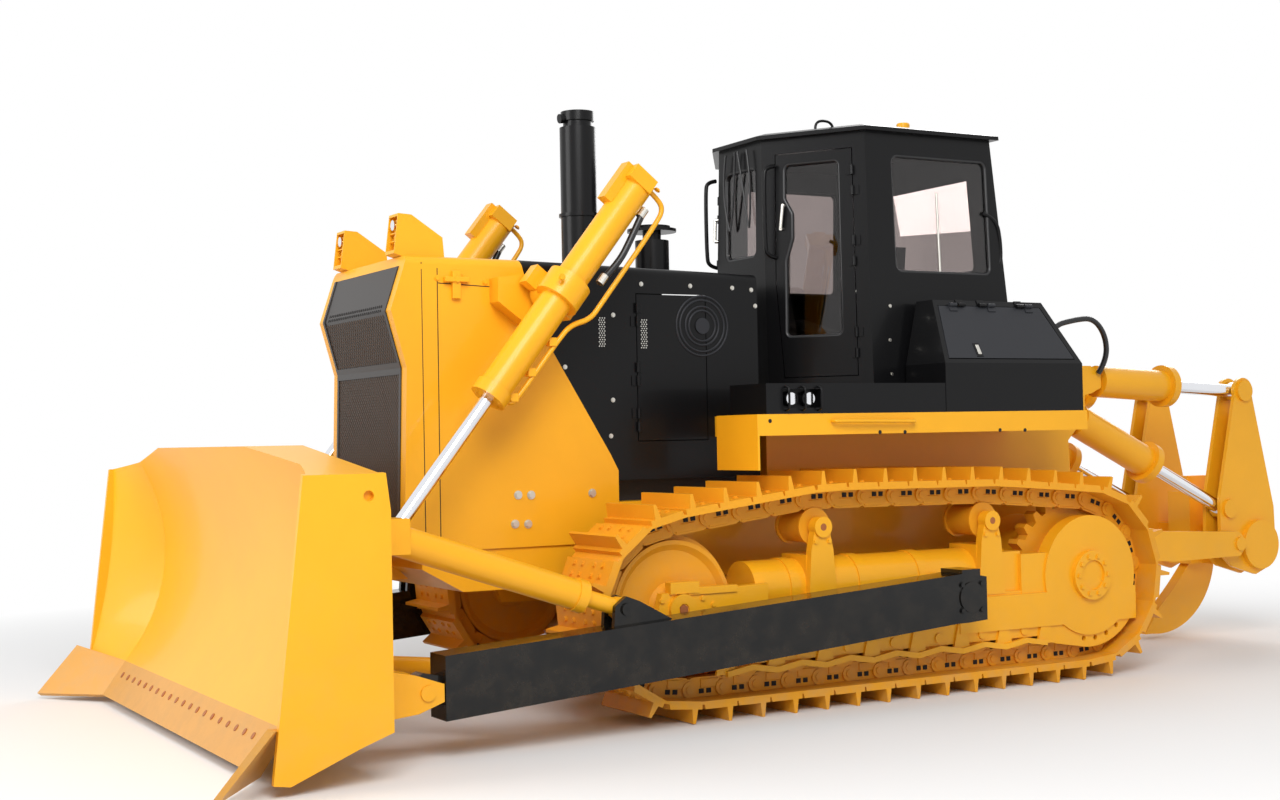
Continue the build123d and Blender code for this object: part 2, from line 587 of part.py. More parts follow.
with BuildPart() as precleaner:
    rod((2520, 0, 2643), (2520, 0, 2900), 110)
    rod((2520, 0, 2900), (2520, 0, 2960), 60)
    rod((2520, 0, 2955), (2520, 0, 2975), 160)
    rod((2520, 0, 2975), (2520, 0, 2995), 120)
    add(hood.part, mode=Mode.SUBTRACT)
save(precleaner, "precleaner")

# Nose lamps: open-fronted housings with a tall lens each, behind two guard bars.
with BuildPart() as nose_lamps:
    slab([(4440, NOSE_TOP_Z - 4), (4509, 2700), (4480, 2930), (4400, 2925), (4210, 2800), (4200, NOSE_TOP_Z - 4)],
         *LAMP_Y)
    slab([(4440, 2720), (4540, 2720), (4540, 2915), (4415, 2915)], LAMP_Y[0] + LAMP_WALL, LAMP_Y[1] - LAMP_WALL,
         Mode.SUBTRACT)
    middle = (LAMP_Y[0] + LAMP_Y[1]) / 2
    for height in (2780, 2860):
        rod((4400, middle, height), (4465, middle, height), 38)
    for height in (2775, 2820, 2865):
        rod((4478, LAMP_Y[0] + 1, height), (4478, LAMP_Y[1] - 1, height), 5)
    mirror(about=Plane.XZ)
    add(nose.part, mode=Mode.SUBTRACT)
save(nose_lamps, "nose_lamps")


# Cab: six leaning walls. Its plan at any height is six corners, from the walls' leans.
def cab_plan(z, inset=0.0):
    """Corners of the cab's plan at height z, moved inwards by inset."""
    drop = (CAB_TOP_Z - z) / (CAB_TOP_Z - CAB_FLOOR_Z)
    front = CAB_FRONT_X + CAB_FRONT_LEAN * drop - inset
    rear = CAB_REAR_X - CAB_REAR_LEAN * drop + inset
    flank = CAB_SIDE_Y + CAB_SIDE_LEAN * drop - inset
    reach = CAB_DOOR_REACH + CAB_DOOR_LEAN * drop - inset
    brow = (reach - cos(CAB_DOOR_ANGLE) * front) / sin(CAB_DOOR_ANGLE)
    post = (reach - sin(CAB_DOOR_ANGLE) * flank) / cos(CAB_DOOR_ANGLE)
    return [(front, -brow), (front, brow), (post, flank), (rear, flank), (rear, -flank), (post, -flank)]


def cab_loft(z_low, z_high, inset=0.0, mode=Mode.ADD, shoulder=0.0):
    """The cab's leaning prism between two heights, drawn in at the top by shoulder."""
    with BuildSketch(Plane(origin=(SPROCKET_X, 0, z_low))) as low:
        with BuildLine():
            Polyline(*cab_plan(z_low, inset), close=True)
        make_face()
    with BuildSketch(Plane(origin=(SPROCKET_X, 0, z_high))) as high:
        with BuildLine():
            Polyline(*cab_plan(z_high, inset + shoulder), close=True)
        make_face()
    loft([low.sketch, high.sketch], ruled=True, mode=mode)


def cab_windows(mode):
    """Prisms through the windscreen, the side windows and the rear window, with round corners."""
    with BuildSketch(side_plane(1100)) as sides:
        with Locations((830, 3036)):
            RectangleRounded(800, 763, WINDOW_ROUND)
    extrude(sides.sketch, amount=2200, mode=mode)
    for x, width, height, middle in ((1700, 380, 600, 3100), (100, 1280, 700, 3050)):
        with BuildSketch(Plane(origin=(x + SPROCKET_X, 0, middle), x_dir=(0, 1, 0), z_dir=(1, 0, 0))) as pane:
            RectangleRounded(width, height, WINDOW_ROUND)
        extrude(pane.sketch, amount=320, mode=mode)


# Horizontal run along the left door wall, from its front corner, and its outward direction.
DOOR_OUT = (cos(CAB_DOOR_ANGLE), sin(CAB_DOOR_ANGLE))
DOOR_RUN = (-sin(CAB_DOOR_ANGLE), cos(CAB_DOOR_ANGLE))


def door_prism(points, mode, corner_round=0.0):
    """Prism through the left door wall; its outline runs along the wall and up."""
    corner = cab_plan(CAB_TOP_Z)[1]
    start = (SPROCKET_X + corner[0] - 200 * DOOR_OUT[0], corner[1] - 200 * DOOR_OUT[1], 0)
    plane = Plane(origin=start, x_dir=(DOOR_RUN[0], DOOR_RUN[1], 0), z_dir=(DOOR_OUT[0], DOOR_OUT[1], 0))
    with BuildSketch(plane) as outline:
        with BuildLine():
            Polyline(*points, close=True)
        make_face()
        if corner_round:
            fillet(outline.vertices(), corner_round)
    extrude(outline.sketch, amount=400, mode=mode)


DOOR_OUTLINE = [(95, 3460), (95, 2620), (150, 1990), (660, 1990), (630, 3460)]
DOOR_LEAF = [(101, 3454), (101, 2620), (156, 1996), (654, 1996), (624, 3454)]
DOOR_WINDOW_ROUND = 42.0
DOOR_WINDOW = [(150, 3390), (150, 3160), (205, 3060), (205, 2900), (160, 2760), (160, 2250), (560, 2250),
               (540, 3390)]

def door_point(run, z, lift):
    """Point off the left door wall: run along it from its upper front corner, lift outwards."""
    corner = cab_plan(CAB_TOP_Z)[1]
    out = lift + CAB_DOOR_LEAN * (CAB_TOP_Z - z) / (CAB_TOP_Z - CAB_FLOOR_Z)
    return (corner[0] + run * DOOR_RUN[0] + out * DOOR_OUT[0],
            corner[1] + run * DOOR_RUN[1] + out * DOOR_OUT[1], z)


CAB_HINGE_LOW = door_point(DOOR_OUTLINE[3][0] - DOOR_GAP / 2, DOOR_OUTLINE[3][1], HINGE_LIFT)
CAB_HINGE_HIGH = door_point(DOOR_OUTLINE[4][0] - DOOR_GAP / 2, DOOR_OUTLINE[4][1], HINGE_LIFT)

with BuildPart() as cab_shell:
    cab_loft(CAB_FLOOR_Z, CAB_TOP_Z)
    cab_loft(CAB_FLOOR_Z + CAB_WALL, CAB_TOP_Z + 1, CAB_WALL, mode=Mode.SUBTRACT)
    door_prism(DOOR_OUTLINE, Mode.SUBTRACT)
    mirror(about=Plane.XZ, mode=Mode.INTERSECT)
    cab_windows(Mode.SUBTRACT)
    hinge_half(CAB_HINGE_HIGH, CAB_HINGE_LOW, (DOOR_RUN[0], DOOR_RUN[1], 0), POST_SHARES)
    mirror(about=Plane.XZ)
save(cab_shell, "cab_shell")

with BuildPart() as cab_roof:
    cab_loft(CAB_TOP_Z, CAB_TOP_Z + ROOF_THICK / 2, -ROOF_OVERHANG)
    cab_loft(CAB_TOP_Z + ROOF_THICK / 2, CAB_TOP_Z + ROOF_THICK, -ROOF_OVERHANG, shoulder=ROOF_SHOULDER)
save(cab_roof, "cab_roof")

with BuildPart() as cab_glass:
    cab_loft(CAB_FLOOR_Z + CAB_WALL, CAB_TOP_Z, CAB_WALL / 2)
    cab_loft(CAB_FLOOR_Z, CAB_TOP_Z + 1, CAB_WALL / 2 + GLASS, mode=Mode.SUBTRACT)
    with BuildPart(mode=Mode.PRIVATE) as panes:
        cab_windows(Mode.ADD)
    add(panes.part, mode=Mode.INTERSECT)
save(cab_glass, "cab_glass")

for name, side in (("left", 1), ("right", -1)):
    with BuildPart() as cab_door:
        cab_loft(CAB_FLOOR_Z, CAB_TOP_Z)
        cab_loft(CAB_FLOOR_Z, CAB_TOP_Z + 1, CAB_WALL, mode=Mode.SUBTRACT)
        door_prism(DOOR_LEAF, Mode.INTERSECT)
        door_prism(DOOR_WINDOW, Mode.SUBTRACT, DOOR_WINDOW_ROUND)
        hinge_half(CAB_HINGE_LOW, CAB_HINGE_HIGH, (-DOOR_RUN[0], -DOOR_RUN[1], 0), LEAF_SHARES)
        if side < 0:
            mirror(about=Plane.XZ, mode=Mode.REPLACE)
    save(cab_door, f"cab_door_{name}")
    with BuildPart() as door_glass:
        cab_loft(CAB_FLOOR_Z, CAB_TOP_Z, CAB_WALL / 2)
        cab_loft(CAB_FLOOR_Z, CAB_TOP_Z + 1, CAB_WALL / 2 + GLASS, mode=Mode.SUBTRACT)
        door_prism(DOOR_WINDOW, Mode.INTERSECT, DOOR_WINDOW_ROUND)
        if side < 0:
            mirror(about=Plane.XZ, mode=Mode.REPLACE)
    save(door_glass, f"cab_door_glass_{name}")

FLOOR_TOP_Z = CAB_FLOOR_Z + CAB_WALL
with BuildPart() as cab_seat:
    block((780, 1080), (-200, 200), (FLOOR_TOP_Z, 2120))
    block((720, 1240), (-260, 260), (2120, 2260))
    for low, high in ((-330, -259), (259, 330)):
        slab([(800, 2200), (1180, 2360), (1200, 2420), (1160, 2430), (760, 2330), (740, 2200)], low, high)
    slab([(700, 2260), (860, 2260), (740, 2900), (640, 2900)], -250, 250)
save(cab_seat, "cab_seat")

with BuildPart() as cab_consoles:
    slab([(1450, FLOOR_TOP_Z), (1720, FLOOR_TOP_Z), (1700, 2560), (1600, 2560)], -230, 230)
    for low, high in ((-560, -345), (345, 560)):
        slab([(700, FLOOR_TOP_Z), (1260, FLOOR_TOP_Z), (1280, 2250), (1180, 2330), (700, 2330)], low, high)
        spot = (low + high) / 2
        rod((1200, spot, 2300), (1260, spot, 2520), 13)
        rod((1260, spot, 2510), (1268, spot, 2570), 28)
save(cab_consoles, "cab_consoles")

# Fenders: shelves over the tracks, the black steps on them and the boxes beside the cab.
with BuildPart() as fenders:
    block((FENDER_X[0], HULL_STEP_X), (HULL_HALF_WIDTH, FENDER_Y), FENDER_Z)
    block((HULL_STEP_X - 10, FENDER_NOTCH_X), (HOOD_HALF_WIDTH, FENDER_Y), FENDER_Z)
    block((FENDER_NOTCH_X - 10, FENDER_X[1]), (FENDER_NOTCH_Y, FENDER_Y), FENDER_Z)
    block((FENDER_X[1] - 14, FENDER_X[1]), (FENDER_NOTCH_Y, FENDER_Y), (1420, FENDER_Z[1]))
    mirror(about=Plane.XZ)
save(fenders, "fenders")

with BuildPart() as side_steps:
    block(STEP_X, (BOX_INNER_Y, FENDER_Y), (FENDER_Z[1], STEP_TOP_Z))
    block(STEP_LAMP_X, (FENDER_Y - STEP_LAMP_DEPTH, FENDER_Y), STEP_LAMP_Z, Mode.SUBTRACT)
    for x in (STEP_LAMP_X[0] + 75, STEP_LAMP_X[1] - 75):
        cross_pin((x, sum(STEP_LAMP_Z) / 2), 44, FENDER_Y - STEP_LAMP_DEPTH, FENDER_Y - 15)
    mirror(about=Plane.XZ)
save(side_steps, "side_steps")


def box_body(wall, mode=Mode.ADD):
    """The left box's outer form, or its hollow where wall is above zero."""
    top = BOX_TOP_Z - wall
    block((BOX_X[0] + wall, BOX_X[1] - wall), (BOX_INNER_Y + wall, FENDER_Y - wall),
          (FENDER_Z[1] + wall, BOX_WAIST_Z), mode)
    with BuildSketch(Plane(origin=(SPROCKET_X, 0, BOX_WAIST_Z))) as waist:
        with BuildLine():
            Polyline((BOX_X[0] + wall, BOX_INNER_Y + wall), (BOX_X[1] - wall, BOX_INNER_Y + wall),
                     (BOX_X[1] - wall, FENDER_Y - wall), (BOX_X[0] + wall, FENDER_Y - wall), close=True)
        make_face()
    with BuildSketch(Plane(origin=(SPROCKET_X, 0, top))) as ridge:
        with BuildLine():
            Polyline((BOX_TOP_X[0] + wall, BOX_INNER_Y + wall), (BOX_TOP_X[1] - wall, BOX_INNER_Y + wall),
                     (BOX_TOP_X[1] - wall, BOX_RIDGE_Y - wall), (BOX_TOP_X[0] + wall, BOX_RIDGE_Y - wall),
                     close=True)
        make_face()
    loft([waist.sketch, ridge.sketch], ruled=True, mode=mode)


def lid_prism(gap, mode):
    """Prism through the box's slanted face, smaller by gap all round."""
    with BuildSketch(Plane(origin=(SPROCKET_X, 1000, 0), x_dir=(1, 0, 0), z_dir=(0, -1, 0))) as outline:
        with BuildLine():
            Polyline((BOX_X[0] + 50 + gap, 2075 + gap), (BOX_X[1] - 40 - gap, 2075 + gap),
                     (BOX_TOP_X[1] - 25 - gap, LID_TOP_Z - gap / 2), (BOX_TOP_X[0] + 30 + gap, LID_TOP_Z - gap / 2),
                     close=True)
        make_face()
    extrude(outline.sketch, amount=-400, mode=mode)


LID_TOP_Z = 2425.0
LID_FALL = (FENDER_Y - BOX_RIDGE_Y, BOX_WAIST_Z - BOX_TOP_Z)
LID_HYP = hypot(*LID_FALL)
LID_HINGE_Y = BOX_RIDGE_Y + (BOX_TOP_Z - LID_TOP_Z) * LID_FALL[0] / -LID_FALL[1] - HINGE_LIFT * LID_FALL[1] / LID_HYP
LID_HINGE_Z = LID_TOP_Z + HINGE_LIFT * LID_FALL[0] / LID_HYP
LID_HINGE_REAR = (BOX_TOP_X[0] + 60, LID_HINGE_Y, LID_HINGE_Z)
LID_HINGE_FRONT = (BOX_TOP_X[1] - 60, LID_HINGE_Y, LID_HINGE_Z)

for name, side in (("left", 1), ("right", -1)):
    with BuildPart() as side_box:
        box_body(0)
        box_body(SHEET, Mode.SUBTRACT)
        lid_prism(0, Mode.SUBTRACT)
        hinge_half(LID_HINGE_FRONT, LID_HINGE_REAR, (0, -LID_FALL[0], -LID_FALL[1]), POST_SHARES)
        if side < 0:
            mirror(about=Plane.XZ, mode=Mode.REPLACE)
    save(side_box, f"side_box_{name}")
    with BuildPart() as box_lid:
        box_body(0)
        box_body(SHEET, Mode.SUBTRACT)
        lid_prism(DOOR_GAP, Mode.INTERSECT)
        hinge_half(LID_HINGE_REAR, LID_HINGE_FRONT, (0, LID_FALL[0], LID_FALL[1]), LEAF_SHARES)
        if side < 0:
            mirror(about=Plane.XZ, mode=Mode.REPLACE)
    save(box_lid, f"box_lid_{name}")

with BuildPart() as fuel_tank:
    block((-440, 230), (-560, 560), (HULL_DECK_Z, 2250))
save(fuel_tank, "fuel_tank")

# Blade: a curved mouldboard with swept wings, closed by side plates.
FACE = [(5556.0, 260.0), (5300.0, 850.0), (5508.0, 1619.0)]
END_FACE = [(5690.0, 290.0), (5570.0, 850.0), (5545.0, 1619.0)]
BACK = [(5190.0, 1619.0), (5150.0, 1000.0), (5130.0, 240.0), (5420.0, 215.0)]


def blade_section(y, face):
    """Closed section of the mouldboard at y: a curved face and a straight back."""
    with BuildSketch(side_plane(y)) as section:
        with BuildLine():
            ThreePointArc(*face)
            Polyline(face[2], *BACK, face[0])
        make_face()
    return section.sketch


with BuildPart() as mouldboard:
    extrude(blade_section(BLADE_WING_Y, FACE), amount=2 * BLADE_WING_Y)
    loft([blade_section(BLADE_WING_Y, FACE), blade_section(BLADE_HALF_WIDTH - SIDE_PLATE, END_FACE)], ruled=True)
    with BuildSketch(side_plane(BLADE_HALF_WIDTH)) as side_plate:
        with BuildLine():
            Polyline((5130, 250), (5300, 190), (5640, 50), (5722, 62), (5545, 1619), (5170, 1619), (5130, 1300),
                     close=True)
        make_face()
        with Locations(CORNER_HOLE):
            Circle(CORNER_HOLE_R, mode=Mode.SUBTRACT)
    extrude(side_plate.sketch, amount=SIDE_PLATE)
    mirror(about=Plane.XZ)
    for side in (1, -1):
        with BuildSketch(Plane(origin=(5900 + SPROCKET_X, 0, 0), x_dir=(0, 1, 0), z_dir=(1, 0, 0))) as slope:
            with BuildLine():
                Polyline((side * 885, 1619), (side * 2100, 1465), (side * 2100, 1700), (side * 885, 1700),
                         close=True)
            make_face()
        extrude(slope.sketch, amount=-900, mode=Mode.SUBTRACT)
    for side in (1, -1):
        for y in (LIFT_Y - 95, LIFT_Y + 47):
            low, high = sorted((side * y, side * (y + 48)))
            slab([(5160, 700), (5160, 1640), (5200, 1697), (5120, 1460), (4800, 1010), (4790, 900), (4880, 850)],
                 low, high)
        for y in (ARM_Y[0] - 5, ARM_Y[1] - 45):
            low, high = sorted((side * y, side * (y + 50)))
            slab([(5160, 230), (5160, 520), (4850, 450), (4710, 400), (4710, 310), (4850, 260)], low, high)
        low, high = sorted((side * (ARM_Y[0] - 15), side * (ARM_Y[1] + 15)))
        cross_pin(ARM_FRONT_PIN, BLADE_PIN_R, low, high)
        block((4870, 5160), sorted((side * 1380, side * 1580)), (1060, 1240))
save(mouldboard, "mouldboard")

# Cutting edge: the straight centre edge and the swept corner bits.
EDGE_SECTION = [(5556, 260), (5700, 55), (5664, 38), (5520, 248)]
CORNER_SECTION = [(5765, 335), (6020, 42), (5995, 24), (5730, 320)]
with BuildPart() as cutting_edge:
    slab(EDGE_SECTION, -BLADE_WING_Y, BLADE_WING_Y)
    sections = []
    for y, corners in ((BLADE_WING_Y, EDGE_SECTION), (CORNER_TIP_Y, CORNER_SECTION)):
        with BuildSketch(side_plane(y)) as section:
            with BuildLine():
                Polyline(*corners, close=True)
            make_face()
        sections.append(section.sketch)
    loft(sections, ruled=True)
    mirror(about=Plane.XZ)
    add(mouldboard.part, mode=Mode.SUBTRACT)
save(cutting_edge, "cutting_edge")

push_arms = []
for name, side in (("left", 1), ("right", -1)):
    with BuildPart() as push_arm:
        slab([(1380, 469), (4700, 208), (4700, 539), (1380, 762), (1290, 770), (1146, 740), (1146, 480), (1290, 470)],
             *ARM_Y)
        slab([(4690, 290), (4690, 430), (4800, 455), (4885, 420), (4890, 300), (4800, 265)],
             ARM_Y[0] + 50, ARM_Y[1] - 50)
        cross_pin(ARM_FRONT_PIN, BLADE_PIN_R + PIN_CLEARANCE, ARM_Y[0], ARM_Y[1], mode=Mode.SUBTRACT)
        cross_pin(TRUNNION, TRUNNION_R + PIN_CLEARANCE, ARM_Y[0] - 1, ARM_Y[0] + 100, mode=Mode.SUBTRACT)
        cross_pin(TRUNNION, TRUNNION_R + 22, ARM_Y[1] - 1, ARM_Y[1] + 9)
        block((1196, 1336), ARM_Y, (745, 790))
        for y in (BRACE_Y - 76, BRACE_Y + 44):
            slab([(3280, 600), (3700, 590), (3690, 720), (3620, 770), (3540, 740)], y, y + 32)
        cross_pin(BRACE_ARM_END, 34, BRACE_Y - 90, BRACE_Y + 90)
        if side < 0:
            mirror(about=Plane.XZ, mode=Mode.REPLACE)
    save(push_arm, f"push_arm_{name}")
    push_arms.append(push_arm.part)

BRACE_REACH = hypot(BRACE_BLADE_END[0] - BRACE_ARM_END[0], BRACE_BLADE_END[1] - BRACE_ARM_END[1])
with BuildPart() as screw_brace:
    in_line(BRACE_ARM_END, BRACE_BLADE_END, BRACE_Y, 40, 260, BRACE_NECK_R)
    in_line(BRACE_ARM_END, BRACE_BLADE_END, BRACE_Y, 240, BRACE_REACH, BRACE_R)
    in_line(BRACE_ARM_END, BRACE_BLADE_END, BRACE_Y, 240, 300, BRACE_R + 9)
    cross_pin(BRACE_ARM_END, 62, BRACE_Y - 40, BRACE_Y + 40)
    add(mouldboard.part, mode=Mode.SUBTRACT)
    add(push_arms[0], mode=Mode.SUBTRACT)
save(screw_brace, "screw_brace")

with BuildPart() as tilt_cylinder:
    in_line(BRACE_ARM_END, BRACE_BLADE_END, -BRACE_Y, 40, 330, BRACE_NECK_R)
    in_line(BRACE_ARM_END, BRACE_BLADE_END, -BRACE_Y, 320, BRACE_REACH, BRACE_R + 6)
    in_line(BRACE_ARM_END, BRACE_BLADE_END, -BRACE_Y, 320, 390, BRACE_R + 24)
    cross_pin(BRACE_ARM_END, 62, -BRACE_Y - 40, -BRACE_Y + 40)
    add(mouldboard.part, mode=Mode.SUBTRACT)
    add(push_arms[1], mode=Mode.SUBTRACT)
save(tilt_cylinder, "tilt_cylinder")

with BuildPart() as diagonal_braces:
    rod((4120, 1430, 400), (5170, 285, 420), 50)
    mirror(about=Plane.XZ)
    add(mouldboard.part, mode=Mode.SUBTRACT)
    for arm in push_arms:
        add(arm, mode=Mode.SUBTRACT)
save(diagonal_braces, "diagonal_braces")

# Lift cylinders: their barrels swing in yokes beside the nose.
LIFT_CAP = -840.0
LIFT_GLAND = 780.0
LIFT_REACH = hypot(LIFT_PIN[0] - LIFT_TRUNNION[0], LIFT_PIN[1] - LIFT_TRUNNION[1])
LIFT_PISTON = 247.0
with BuildPart() as lift_brackets:
    slab([(3500, 2350), (3780, 2290), (3960, 2420), (3960, 2560), (3700, 2590), (3520, 2560)], NOSE_HALF_WIDTH, 720)
    cross_pin(LIFT_TRUNNION, 60, 715, 800)
    mirror(about=Plane.XZ)
save(lift_brackets, "lift_brackets")

with BuildPart() as lift_barrels:
    in_line(LIFT_TRUNNION, LIFT_PIN, LIFT_Y, LIFT_CAP, LIFT_GLAND, LIFT_BARREL_R)
    in_line(LIFT_TRUNNION, LIFT_PIN, LIFT_Y, LIFT_GLAND - 75, LIFT_GLAND, LIFT_BARREL_R + 14)
    in_line_block(LIFT_TRUNNION, LIFT_PIN, (LIFT_Y - 105, LIFT_Y + 105), LIFT_CAP - 20, LIFT_CAP + 70, -60, 105)
    in_line_block(LIFT_TRUNNION, LIFT_PIN, (LIFT_Y - 45, LIFT_Y + 45), LIFT_CAP - 18, LIFT_CAP + 250, 85, 140)
    in_line(LIFT_TRUNNION, LIFT_PIN, LIFT_Y, LIFT_CAP + 40, LIFT_GLAND - 40, LIFT_BORE_R, Mode.SUBTRACT)
    in_line(LIFT_TRUNNION, LIFT_PIN, LIFT_Y, LIFT_GLAND - 60, LIFT_GLAND + 10, LIFT_ROD_R + PIN_CLEARANCE,
            Mode.SUBTRACT)
    mirror(about=Plane.XZ)
save(lift_barrels, "lift_barrels")

with BuildPart() as lift_yokes:
    in_line(LIFT_TRUNNION, LIFT_PIN, LIFT_Y, -75, 75, LIFT_BARREL_R + 38)
    cross_pin(LIFT_TRUNNION, 110, 740, LIFT_Y - 70)
    for low, high in ((-178, -100), (100, 178)):
        in_line_block(LIFT_TRUNNION, LIFT_PIN, (745, 835), -62, 62, low, high)
    in_line(LIFT_TRUNNION, LIFT_PIN, LIFT_Y, -160, 160, LIFT_BARREL_R + 0.1, Mode.SUBTRACT)
    cross_pin(LIFT_TRUNNION, 60 + PIN_CLEARANCE, 730, 801, Mode.SUBTRACT)
    mirror(about=Plane.XZ)
save(lift_yokes, "lift_yokes")

with BuildPart() as lift_rods:
    in_line(LIFT_TRUNNION, LIFT_PIN, LIFT_Y, LIFT_PISTON, LIFT_REACH, LIFT_ROD_R)
    in_line(LIFT_TRUNNION, LIFT_PIN, LIFT_Y, LIFT_PISTON, LIFT_PISTON + 60, LIFT_BORE_R - 1)
    cross_pin(LIFT_PIN, 70, LIFT_Y - LIFT_EYE_HALF, LIFT_Y + LIFT_EYE_HALF)
    mirror(about=Plane.XZ)
save(lift_rods, "lift_rods")

# Ripper: a parallelogram of lower links and tilt cylinders that carries a single shank.
EAR_YS = ((RIPPER_CYL_Y - EAR_SLOT_HALF - EAR_PLATE, RIPPER_CYL_Y - EAR_SLOT_HALF),
          (RIPPER_CYL_Y + EAR_SLOT_HALF, RIPPER_CYL_Y + EAR_SLOT_HALF + EAR_PLATE))
EAR_OUTER = EAR_YS[1][1]
EAR_INNER = EAR_YS[0][0]
with BuildPart() as ripper_bracket:
    for low, high in EAR_YS:
        slab([(HULL_REAR_X, 640), (-700, 700), (-765, 800), (-700, 900), (-600, 1000), (-572, 1545), (-720, 1690),
              (-738, 1760), (-738, 1866), (-810, 1878), (-900, 1920), (-900, 2030), (-800, 2075), (HULL_REAR_X + 40, 2075),
              (HULL_REAR_X + 40, HULL_DECK_Z), (HULL_REAR_X, HULL_DECK_Z)], low, high)
    cross_pin(LINK_FRONT, LINK_PIN_R, EAR_INNER, LINK_Y[1] + 10)
    for spot in (TILT_FRONT, RIP_LIFT_FRONT):
        cross_pin(spot, RIPPER_PIN_R, EAR_INNER, EAR_OUTER)
    mirror(about=Plane.XZ)
save(ripper_bracket, "ripper_bracket")

with BuildPart() as ripper_links:
    slab([(-560, 850), (-660, 900), (-2180, 828), (-2270, 738), (-2180, 648), (-1500, 640), (-660, 700), (-570, 740)],
         *LINK_Y)
    cross_pin(LINK_FRONT, LINK_PIN_R + PIN_CLEARANCE, LINK_Y[0] - 1, LINK_Y[1] + 1, Mode.SUBTRACT)
    cross_pin(LINK_REAR, LINK_PIN_R + PIN_CLEARANCE, LINK_Y[0] - 1, LINK_Y[1] + 1, Mode.SUBTRACT)
    cross_pin((-1150, 770), 65, 0, LINK_Y[0] + 5)
    mirror(about=Plane.XZ)
save(ripper_links, "ripper_links")

with BuildPart() as ripper_pins:
    cross_pin(LINK_REAR, LINK_PIN_R, EAR_INNER, LINK_Y[1] + 15)
    mirror(about=Plane.XZ)
save(ripper_pins, "ripper_pins")

with BuildPart() as ripper_carriage:
    for low, high in EAR_YS:
        slab([(-2280, 1900), (-2310, 1960), (-2400, 1975), (-2450, 1880), (-2665, 1000), (-2675, 740), (-2600, 545),
              (-2450, 490), (-2200, 560), (-2080, 660), (-2085, 1080)], low, high)
        cross_pin(TILT_REAR, 100, low, high)
        cross_pin(LINK_REAR, LINK_PIN_R + PIN_CLEARANCE, low - 1, high + 1, Mode.SUBTRACT)
    for spot, radius in ((TILT_REAR, 78), (RIP_LIFT_REAR, 70)):
        cross_pin(spot, radius, EAR_OUTER, EAR_OUTER + PIN_BOSS)
    cross_pin(BEAM_CENTRE, BEAM_CAP_R - 5, EAR_OUTER, EAR_OUTER + 40)
    block((-2620, -2320), (0, EAR_OUTER - 5), (560, 860))
    slab([(-2420, 1700), (-2380, 1700), (-2560, 850), (-2620, 850)], EAR_INNER + 5, EAR_OUTER - 5)
    block((-2560, -2190), (0, 110), (560, 1120))
    mirror(about=Plane.XZ)
    block((-2510, -2240), (-SHANK_HALF, SHANK_HALF), (400, 1200), Mode.SUBTRACT)
save(ripper_carriage, "ripper_carriage")

with BuildPart() as ripper_shank:
    with BuildSketch(side_plane(SHANK_HALF)) as tooth:
        with BuildLine():
            Polyline((-1830, 40), (-1760, 40), (-1900, 230))
            ThreePointArc((-1900, 230), (-2090, 400), (-2240, 560))
            Polyline((-2240, 560), (-2240, 1240), (-2510, 1240), (-2510, 560))
            ThreePointArc((-2510, 560), (-2310, 190), (-1830, 40))
        make_face()
    extrude(tooth.sketch, amount=2 * SHANK_HALF)
save(ripper_shank, "ripper_shank")

RIPPER_CYLINDERS = (
    ("tilt", TILT_FRONT, TILT_REAR, 840.0, 480.0),
    ("lift", RIP_LIFT_FRONT, RIP_LIFT_REAR, 900.0, 503.0),
)
for name, front, rear, gland, piston in RIPPER_CYLINDERS:
    reach = hypot(rear[0] - front[0], rear[1] - front[1])
    with BuildPart() as barrels:
        in_line(front, rear, RIPPER_CYL_Y, 130, gland, RIPPER_BARREL_R)
        in_line(front, rear, RIPPER_CYL_Y, gland - 60, gland, RIPPER_BARREL_R + 40)
        cross_pin(front, 75, RIPPER_CYL_Y - RIPPER_EYE_HALF, RIPPER_CYL_Y + RIPPER_EYE_HALF)
        end = along(front, rear, 140)
        block((end[0] - 20, front[0]), (RIPPER_CYL_Y - RIPPER_EYE_HALF, RIPPER_CYL_Y + RIPPER_EYE_HALF),
              (end[1] - 60, end[1] + 60))
        in_line(front, rear, RIPPER_CYL_Y, 160, gland - 20, RIPPER_BORE_R, Mode.SUBTRACT)
        in_line(front, rear, RIPPER_CYL_Y, gland - 60, gland + 5, RIPPER_ROD_R + PIN_CLEARANCE, Mode.SUBTRACT)
        cross_pin(front, RIPPER_PIN_R + PIN_CLEARANCE, RIPPER_CYL_Y - 50, RIPPER_CYL_Y + 50, Mode.SUBTRACT)
        mirror(about=Plane.XZ)
    save(barrels, f"ripper_{name}_barrels")
    with BuildPart() as rods:
        in_line(front, rear, RIPPER_CYL_Y, piston, reach, RIPPER_ROD_R)
        in_line(front, rear, RIPPER_CYL_Y, piston, piston + RIPPER_PISTON, RIPPER_BORE_R - 1)
        cross_pin(rear, 70, RIPPER_CYL_Y - RIPPER_EYE_HALF, RIPPER_CYL_Y + RIPPER_EYE_HALF)
        mirror(about=Plane.XZ)
    save(rods, f"ripper_{name}_rods")
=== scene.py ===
import math

import bmesh
import bpy
from mathutils import Matrix, Vector


